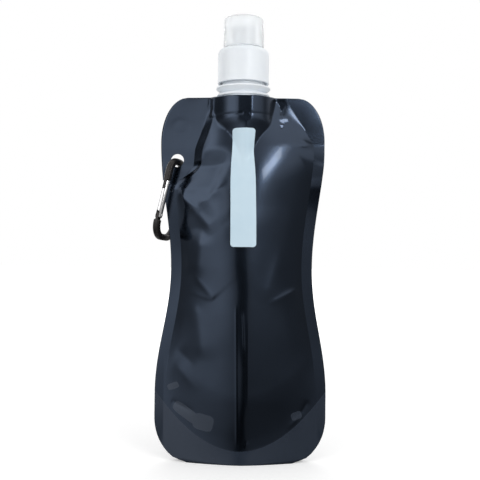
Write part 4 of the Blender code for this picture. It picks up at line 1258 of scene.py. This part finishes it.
def film_material(name, patches):
    """Blue-black laminated film: a dark metallised layer under a clear gloss, dull where it is welded, with
    lighter patches of painted highlight and painted glints.
    """
    paint = Paint(name, coat_weight=0.30, coat_roughness=0.06)
    x, z = (paint.split()[axis] for axis in "XZ")
    share = paint.math("DIVIDE", x, GUSSET_HALF)
    square = paint.math("MULTIPLY", share, share)
    arc = paint.math("MULTIPLY_ADD", square, GUSSET_FOLD_Z - GUSSET_ARC_LOW_Z, GUSSET_ARC_LOW_Z)
    weld = paint.between(paint.math("SUBTRACT", arc, z), 0.0, WELD_EDGE)
    # Patches where the gusset presses on the film, lighter in colour as painted highlight and painted glints
    pressed_highlight = 0.0
    for centre_x, centre_z, half_x, half_z, turn in patches:
        spot = paint.add("Mapping", {
            "Vector": paint.place(),
            "Location": (centre_x, 0, centre_z),
            "Rotation": (0, math.radians(turn), 0),
            "Scale": (half_x, 1.0, half_z),
        }, vector_type="TEXTURE").outputs["Vector"]
        squared = paint.add("VectorMath", {0: spot, 1: spot}, operation="MULTIPLY").outputs["Vector"]
        reach = paint.add("VectorMath", {0: squared}, operation="LENGTH").outputs["Value"]
        pressed_highlight = paint.math("MAXIMUM", pressed_highlight, paint.between(reach, *PATCH_EDGE))
    # From here the weld mask also holds the painted highlight patches, which get the weld's finish
    weld = paint.math("MAXIMUM", weld, pressed_highlight)
    cloud = paint.noise(40, 3)
    plain, welded, pressed_highlight_colour = (paint.clouded(cloud, *ends) for ends in (FILM_PLAIN, FILM_WELDED, FILM_PRESSED_HIGHLIGHT))
    paint.give("Base Color", paint.mixed(weld, plain, paint.mixed(pressed_highlight, welded, pressed_highlight_colour)))
    paint.give("Metallic", paint.between(weld, 0, 1, 1.0, WELD_METALLIC))
    fine = paint.between(paint.noise(90, 4), NOISE_LOW, NOISE_HIGH, *FILM_ROUGHNESS)
    paint.give("Roughness", paint.math("ADD", fine, paint.between(weld, 0, 1, 0.0, WELD_DULLER)))
    paint.bump(paint.noise(900, 4), 0.00001, 0.2)
    return paint.material


def label_material():
    """Pale blue-grey satin sticker."""
    paint = Paint("label", roughness=0.42, coat_weight=0.15, coat_roughness=0.2)
    paint.vary("Base Color", paint.noise(60, 3), (0.51, 0.66, 0.76), (0.57, 0.71, 0.80))
    paint.bump(paint.noise(2500, 3), 0.000006, 0.3)
    return paint.material


def white_material():
    """Moulded white plastic, a little milky."""
    milky = {"subsurface_weight": 0.40, "subsurface_scale": 0.003, "subsurface_radius": (1.0, 1.0, 1.0)}
    paint = Paint("white_plastic", **milky)
    paint.vary("Base Color", paint.noise(120, 3), (0.82, 0.87, 0.93), (0.85, 0.90, 0.95))
    paint.vary("Roughness", paint.noise(300, 4), 0.30, 0.40)
    paint.bump(paint.noise(3000, 3), 0.000008, 0.3)
    return paint.material


def clear_material():
    """Milky clear plastic of the dust cap, with painted shade that makes it greyer where it is seen edge on.
    """
    paint = Paint("clear_plastic", transmission_weight=0.64, ior=1.30)
    clouded = paint.clouded(paint.noise(60, 2), (0.95, 0.97, 0.98), (0.97, 0.98, 0.99))
    # Painted shade: the colour darkens where the surface is seen edge on, standing in for dark reflections
    # at the edges
    edge_on = paint.add("LayerWeight", {"Blend": 0.5}).outputs["Facing"]
    rim = paint.ramp(edge_on, ((0.72, (1.0, 1.0, 1.0)), (0.97, (0.70, 0.76, 0.78))))
    paint.give("Base Color", paint.mixed(1.0, clouded, rim, blend_type="MULTIPLY"))
    paint.vary("Roughness", paint.noise(50, 2), 0.16, 0.22)
    return paint.material


def foam_material():
    """Soft foam of the sealing washer."""
    paint = Paint("liner_foam", roughness=0.8)
    paint.vary("Base Color", paint.noise(800, 4), (0.68, 0.68, 0.65), (0.80, 0.80, 0.77))
    paint.bump(paint.noise(4000, 3), 0.00003, 0.6)
    return paint.material


def anodised_material():
    """Black anodised aluminium with fine drawing lines."""
    paint = Paint("black_anodised", metallic=0.55)
    paint.vary("Base Color", paint.noise(700, 3, (1, 1, 0.08)), (0.012, 0.011, 0.011), (0.026, 0.023, 0.022))
    paint.vary("Roughness", paint.noise(500, 4), 0.22, 0.36)
    paint.bump(paint.noise(2500, 3), 0.000006, 0.4)
    return paint.material


def metal_material(name, low, high, roughness):
    """Bright metal with faint drawing lines along Z."""
    paint = Paint(name, metallic=1.0)
    grain = paint.noise(900, 3, (1, 1, 0.05))
    paint.vary("Base Color", grain, (low, low, low * 1.01), (high, high, high * 1.01))
    paint.vary("Roughness", grain, roughness, roughness + 0.1)
    paint.bump(grain, 0.000006, 0.4)
    return paint.material


# Studio

# Level of the surroundings as light, and the floor
WORLD_LIGHT = 0.50
FLOOR_GREY = 0.85
FLOOR_HALF = 3.0
FLOOR_BELOW = 0.0001

# The floor's glow as it is seen: from and to this distance it grows between these two levels
FLOOR_GLOW = (0.25, 1.00, 0.32, 1.00)

# The wall is a sphere; WALL_SCALE is the brightness at a ramp's full white
WALL_RADIUS = 1.5
WALL_SCALE = 2.5
WALL_TOP = 80.0
WALL_ROWS = 33
WALL_COLUMNS = 73

# Brightness of the studio wall round the pouch, by azimuth: white to the left, a black cloth behind
# the camera and grey to the right; above it a rail and a ceiling take over as the elevation grows
WALL_BY_AZIMUTH = (
    (-90.0, 0.24), (-80.0, 0.34), (-70.0, 0.52), (-62.0, 0.70), (-54.0, 0.95), (-45.0, 1.10),
    (-34.0, 1.10), (-22.0, 0.82), (-14.0, 0.52), (-9.5, 0.40), (11.0, 0.44), (40.0, 0.40),
    (60.0, 0.34), (72.0, 0.24), (90.0, 0.20),
)
WALL_DIMMED = (
    (-60.0, 0.40), (-34.0, 0.44), (-18.0, 0.72), (-4.0, 1.00),
)
CLOTH_BY_AZIMUTH = (
    (-9.5, 0.0), (-8.0, 0.8), (9.5, 0.8), (11.0, 0.0),
)
CLOTH_BY_HEIGHT = (
    (17.0, 1.0), (20.0, 0.0),
)
RAIL_BY_AZIMUTH = (
    (-90.0, 0.14), (-82.0, 0.16), (-75.0, 0.80), (-67.0, 1.90), (-45.0, 1.90), (-32.0, 1.50),
    (-14.0, 1.35), (-9.5, 1.10), (11.0, 0.36), (15.0, 0.60), (22.0, 1.20), (50.0, 1.15),
    (64.0, 1.00), (78.0, 0.80), (86.0, 0.40), (90.0, 0.26),
)
RAIL_SHARE = (
    (4.0, 0.0), (13.5, 1.0),
)
CEILING_BY_AZIMUTH = (
    (-90.0, 0.10), (-85.0, 0.12), (-79.0, 1.20), (-62.0, 1.90), (-48.0, 1.60), (-36.0, 0.85),
    (-22.0, 0.50), (-4.0, 0.50), (8.0, 0.85), (22.0, 1.20), (34.0, 1.40), (60.0, 1.40),
    (72.0, 1.20), (84.0, 0.40), (90.0, 0.30),
)
CEILING_SHARE = (
    (19.0, 0.0), (27.0, 1.0),
)


def direction(azimuth, elevation):
    """Unit vector from the pouch: azimuth 0 looks out of its front, 90 to its right (+X)."""
    a, e = math.radians(azimuth), math.radians(elevation)
    return Vector((math.sin(a) * math.cos(e), -math.cos(a) * math.cos(e), math.sin(e)))


def add_area_light(name, azimuth, elevation, distance, size, energy, turn=0.0, in_gloss=False):
    """A soft lamp that faces the pouch; size is its width and height, turn tips its right end up."""
    lamp = bpy.data.lights.new(name, "AREA")
    lamp.shape = "RECTANGLE"
    lamp.size, lamp.size_y = size
    lamp.energy = energy
    obj = add_object(name, lamp)
    way = direction(azimuth, elevation)
    obj.location = Vector((0, 0, CAMERA_HEIGHT)) + way * distance
    tipped = Matrix.Rotation(math.radians(turn), 3, "Z")
    obj.rotation_euler = (way.to_track_quat("Z", "Y").to_matrix() @ tipped).to_euler()
    obj.visible_glossy = in_gloss


def make_world():
    """White surroundings: full white for what looks straight at them, a soft level as light."""
    world = bpy.data.worlds.new("studio")
    bpy.context.scene.world = world
    net = Network(world)
    strength = net.between(net.seen_directly(), 0, 1, WORLD_LIGHT, 1)
    background = net.add("Background", {"Color": (1, 1, 1, 1), "Strength": strength})
    net.add("OutputWorld", {"Surface": background.outputs["Background"]})


def make_floor():
    """A white floor that keeps a soft shadow and meets the white surroundings."""
    material = bpy.data.materials.new("floor")
    net = Network(material)
    diffuse = net.add("BsdfDiffuse", {"Color": (FLOOR_GREY, FLOOR_GREY, FLOOR_GREY, 1)})
    away = net.add("VectorMath", {0: net.place()}, operation="LENGTH").outputs["Value"]
    farther = net.between(away, *FLOOR_GLOW, interpolation_type="SMOOTHSTEP")
    glow = net.add("Emission", {"Strength": net.math("MULTIPLY", net.seen_directly(), farther)})
    both = net.add("AddShader", {0: diffuse.outputs["BSDF"], 1: glow.outputs["Emission"]})
    net.add("OutputMaterial", {"Surface": both.outputs["Shader"]})
    corners = [(x * FLOOR_HALF, y * FLOOR_HALF, 0) for x, y in ((-1, -1), (1, -1), (1, 1), (-1, 1))]
    floor = add_mesh("floor", corners, [(0, 1, 2, 3)], material)
    floor.location.z = -FLOOR_BELOW
    floor.visible_glossy = False


def make_wall():
    """The studio's wall, which only gloss shows; its back half mirrors its front half."""
    material = bpy.data.materials.new("studio_wall")
    net = Network(material)
    split = net.split()
    forward = net.math("ABSOLUTE", split["Y"])
    folded = net.add("CombineXYZ", {"X": forward, "Y": split["X"]}).outputs["Vector"]
    turn = net.add("TexGradient", {"Vector": folded}, gradient_type="RADIAL").outputs["Fac"]
    height = net.math("MULTIPLY_ADD", split["Z"], 0.5 / WALL_RADIUS, 0.5)

    def by_azimuth(table):
        """Greys between azimuths in degrees, as shares of the wall's greatest brightness."""
        return net.ramp(turn, [(0.5 + azimuth / 360, grey / WALL_SCALE) for azimuth, grey in table])

    def by_height(table):
        """Shares between elevations in degrees."""
        return net.ramp(height, [(0.5 + 0.5 * math.sin(math.radians(e)), share) for e, share in table])

    level = net.math("MULTIPLY", by_azimuth(WALL_BY_AZIMUTH), by_height(WALL_DIMMED))
    for share, brightness in ((RAIL_SHARE, RAIL_BY_AZIMUTH), (CEILING_SHARE, CEILING_BY_AZIMUTH)):
        gain = net.math("SUBTRACT", by_azimuth(brightness), level)
        level = net.math("MULTIPLY_ADD", gain, by_height(share), level)
    dark = net.math("MULTIPLY", by_azimuth(CLOTH_BY_AZIMUTH), by_height(CLOTH_BY_HEIGHT))
    lit = net.math("MULTIPLY_ADD", dark, -WALL_SCALE * WALL_SCALE, WALL_SCALE)
    emission = net.add("Emission", {"Strength": net.math("MULTIPLY", level, lit)})
    net.add("OutputMaterial", {"Surface": emission.outputs["Emission"]})

    verts = []
    for elevation in np.linspace(-WALL_TOP, WALL_TOP, WALL_ROWS):
        for azimuth in np.linspace(-180, 180, WALL_COLUMNS):
            verts.append(WALL_RADIUS * direction(azimuth, elevation))
    wall = add_mesh("studio_wall", verts, grid_faces(WALL_ROWS, WALL_COLUMNS), material)
    wall.location.z = CAMERA_HEIGHT
    for rays in ("camera", "diffuse", "transmission", "shadow", "volume_scatter"):
        setattr(wall, "visible_" + rays, False)


def make_studio():
    """Soft lamps, white surroundings, and the wall that the gloss shows."""
    make_world()
    make_floor()
    make_wall()
    add_area_light("key_left", -45, 24, 1.2, (1.0, 0.9), 3.3)
    add_area_light("strip_right", 25.5, 20.5, 1.0, (0.28, 0.11), 0.95, turn=30, in_gloss=True)
    add_area_light("strip_halo", 29.0, 23, 1.1, (0.40, 0.27), 0.36, turn=30, in_gloss=True)
    add_area_light("fill_right", 50, 24, 1.2, (0.9, 0.9), 3.1)
    add_area_light("fill_back", 180, 35, 1.2, (0.9, 0.9), 2.5)
    add_area_light("top_soft", 0, 88, 1.1, (0.9, 0.9), 2.5)


def make_camera():
    """Level camera at the photograph's viewing angle."""
    data = bpy.data.cameras.new("camera")
    pixel_focus = CAMERA_DISTANCE / METRES_PER_PIXEL
    data.sensor_width = SENSOR
    data.lens = pixel_focus * SENSOR / IMAGE_PIXELS
    data.clip_start = 0.01
    data.clip_end = 20
    camera = add_object("camera", data)
    camera.location = (CAMERA_ASIDE, -CAMERA_DISTANCE, CAMERA_HEIGHT)
    camera.rotation_euler = (math.pi / 2, CAMERA_ROLL, 0)
    bpy.context.scene.camera = camera


def main():
    """Camera and studio, then each piece of the pouch on its body."""
    bpy.context.scene.view_settings.view_transform = "Standard"
    make_camera()
    make_studio()

    front_film = film_material("film_front", FRONT_HIGHLIGHT_PATCHES)
    back_film = film_material("film_back", BACK_HIGHLIGHT_PATCHES)
    white = white_material()
    dress(make_film_panel("film_front_sheet", True, front_film), "pouch", "film", "front_film")
    dress(make_film_panel("film_back_sheet", False, back_film), "pouch", "film", "back_film")
    dress(make_gusset("film_gusset_fold", back_film), "pouch", "film", "gusset_film")
    dress(make_label("label_strip", label_material()), "pouch", "label", "front_label")

    black = anodised_material()
    silver = metal_material("gate_metal", 0.70, 0.80, 0.16)
    steel = metal_material("steel", 0.52, 0.64, 0.22)
    hook_piece = make_hook_frame(black)
    latch_height = GATE_TIP - LATCH_BELOW_TIP
    rivet = make_cross_pin("hook_rivet_pin", steel, RIVET_R, GATE_R + GAP, 0)
    latch = make_cross_pin("gate_latch_pin", steel, PIN_R, GATE_R, latch_height)
    dress(make_spout(white), "pouch", "white_plastic", "spout")
    dress(make_screw_cap(white), "cap", "white_plastic", "screw_cap")
    dress(make_nozzle(white), "nozzle", "white_plastic", "pull_nozzle")
    dress(make_dust_cap(clear_material()), "dust_cap", "clear_plastic", "dust_cap")
    dress(hook_piece, "hook", "black_anodised", "carabiner_frame")
    dress(rivet, "hook", "steel", "gate_rivet")
    dress(make_gate(silver), "gate", "gate_metal", "carabiner_gate")
    dress(latch, "gate", "steel", "latch_pin")
    for name, material in (("cap_liner", foam_material()), ("gate_spring", steel), ("gate_plunger", steel)):
        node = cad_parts[name]
        node.data.materials.clear()
        node.data.materials.append(material)


main()
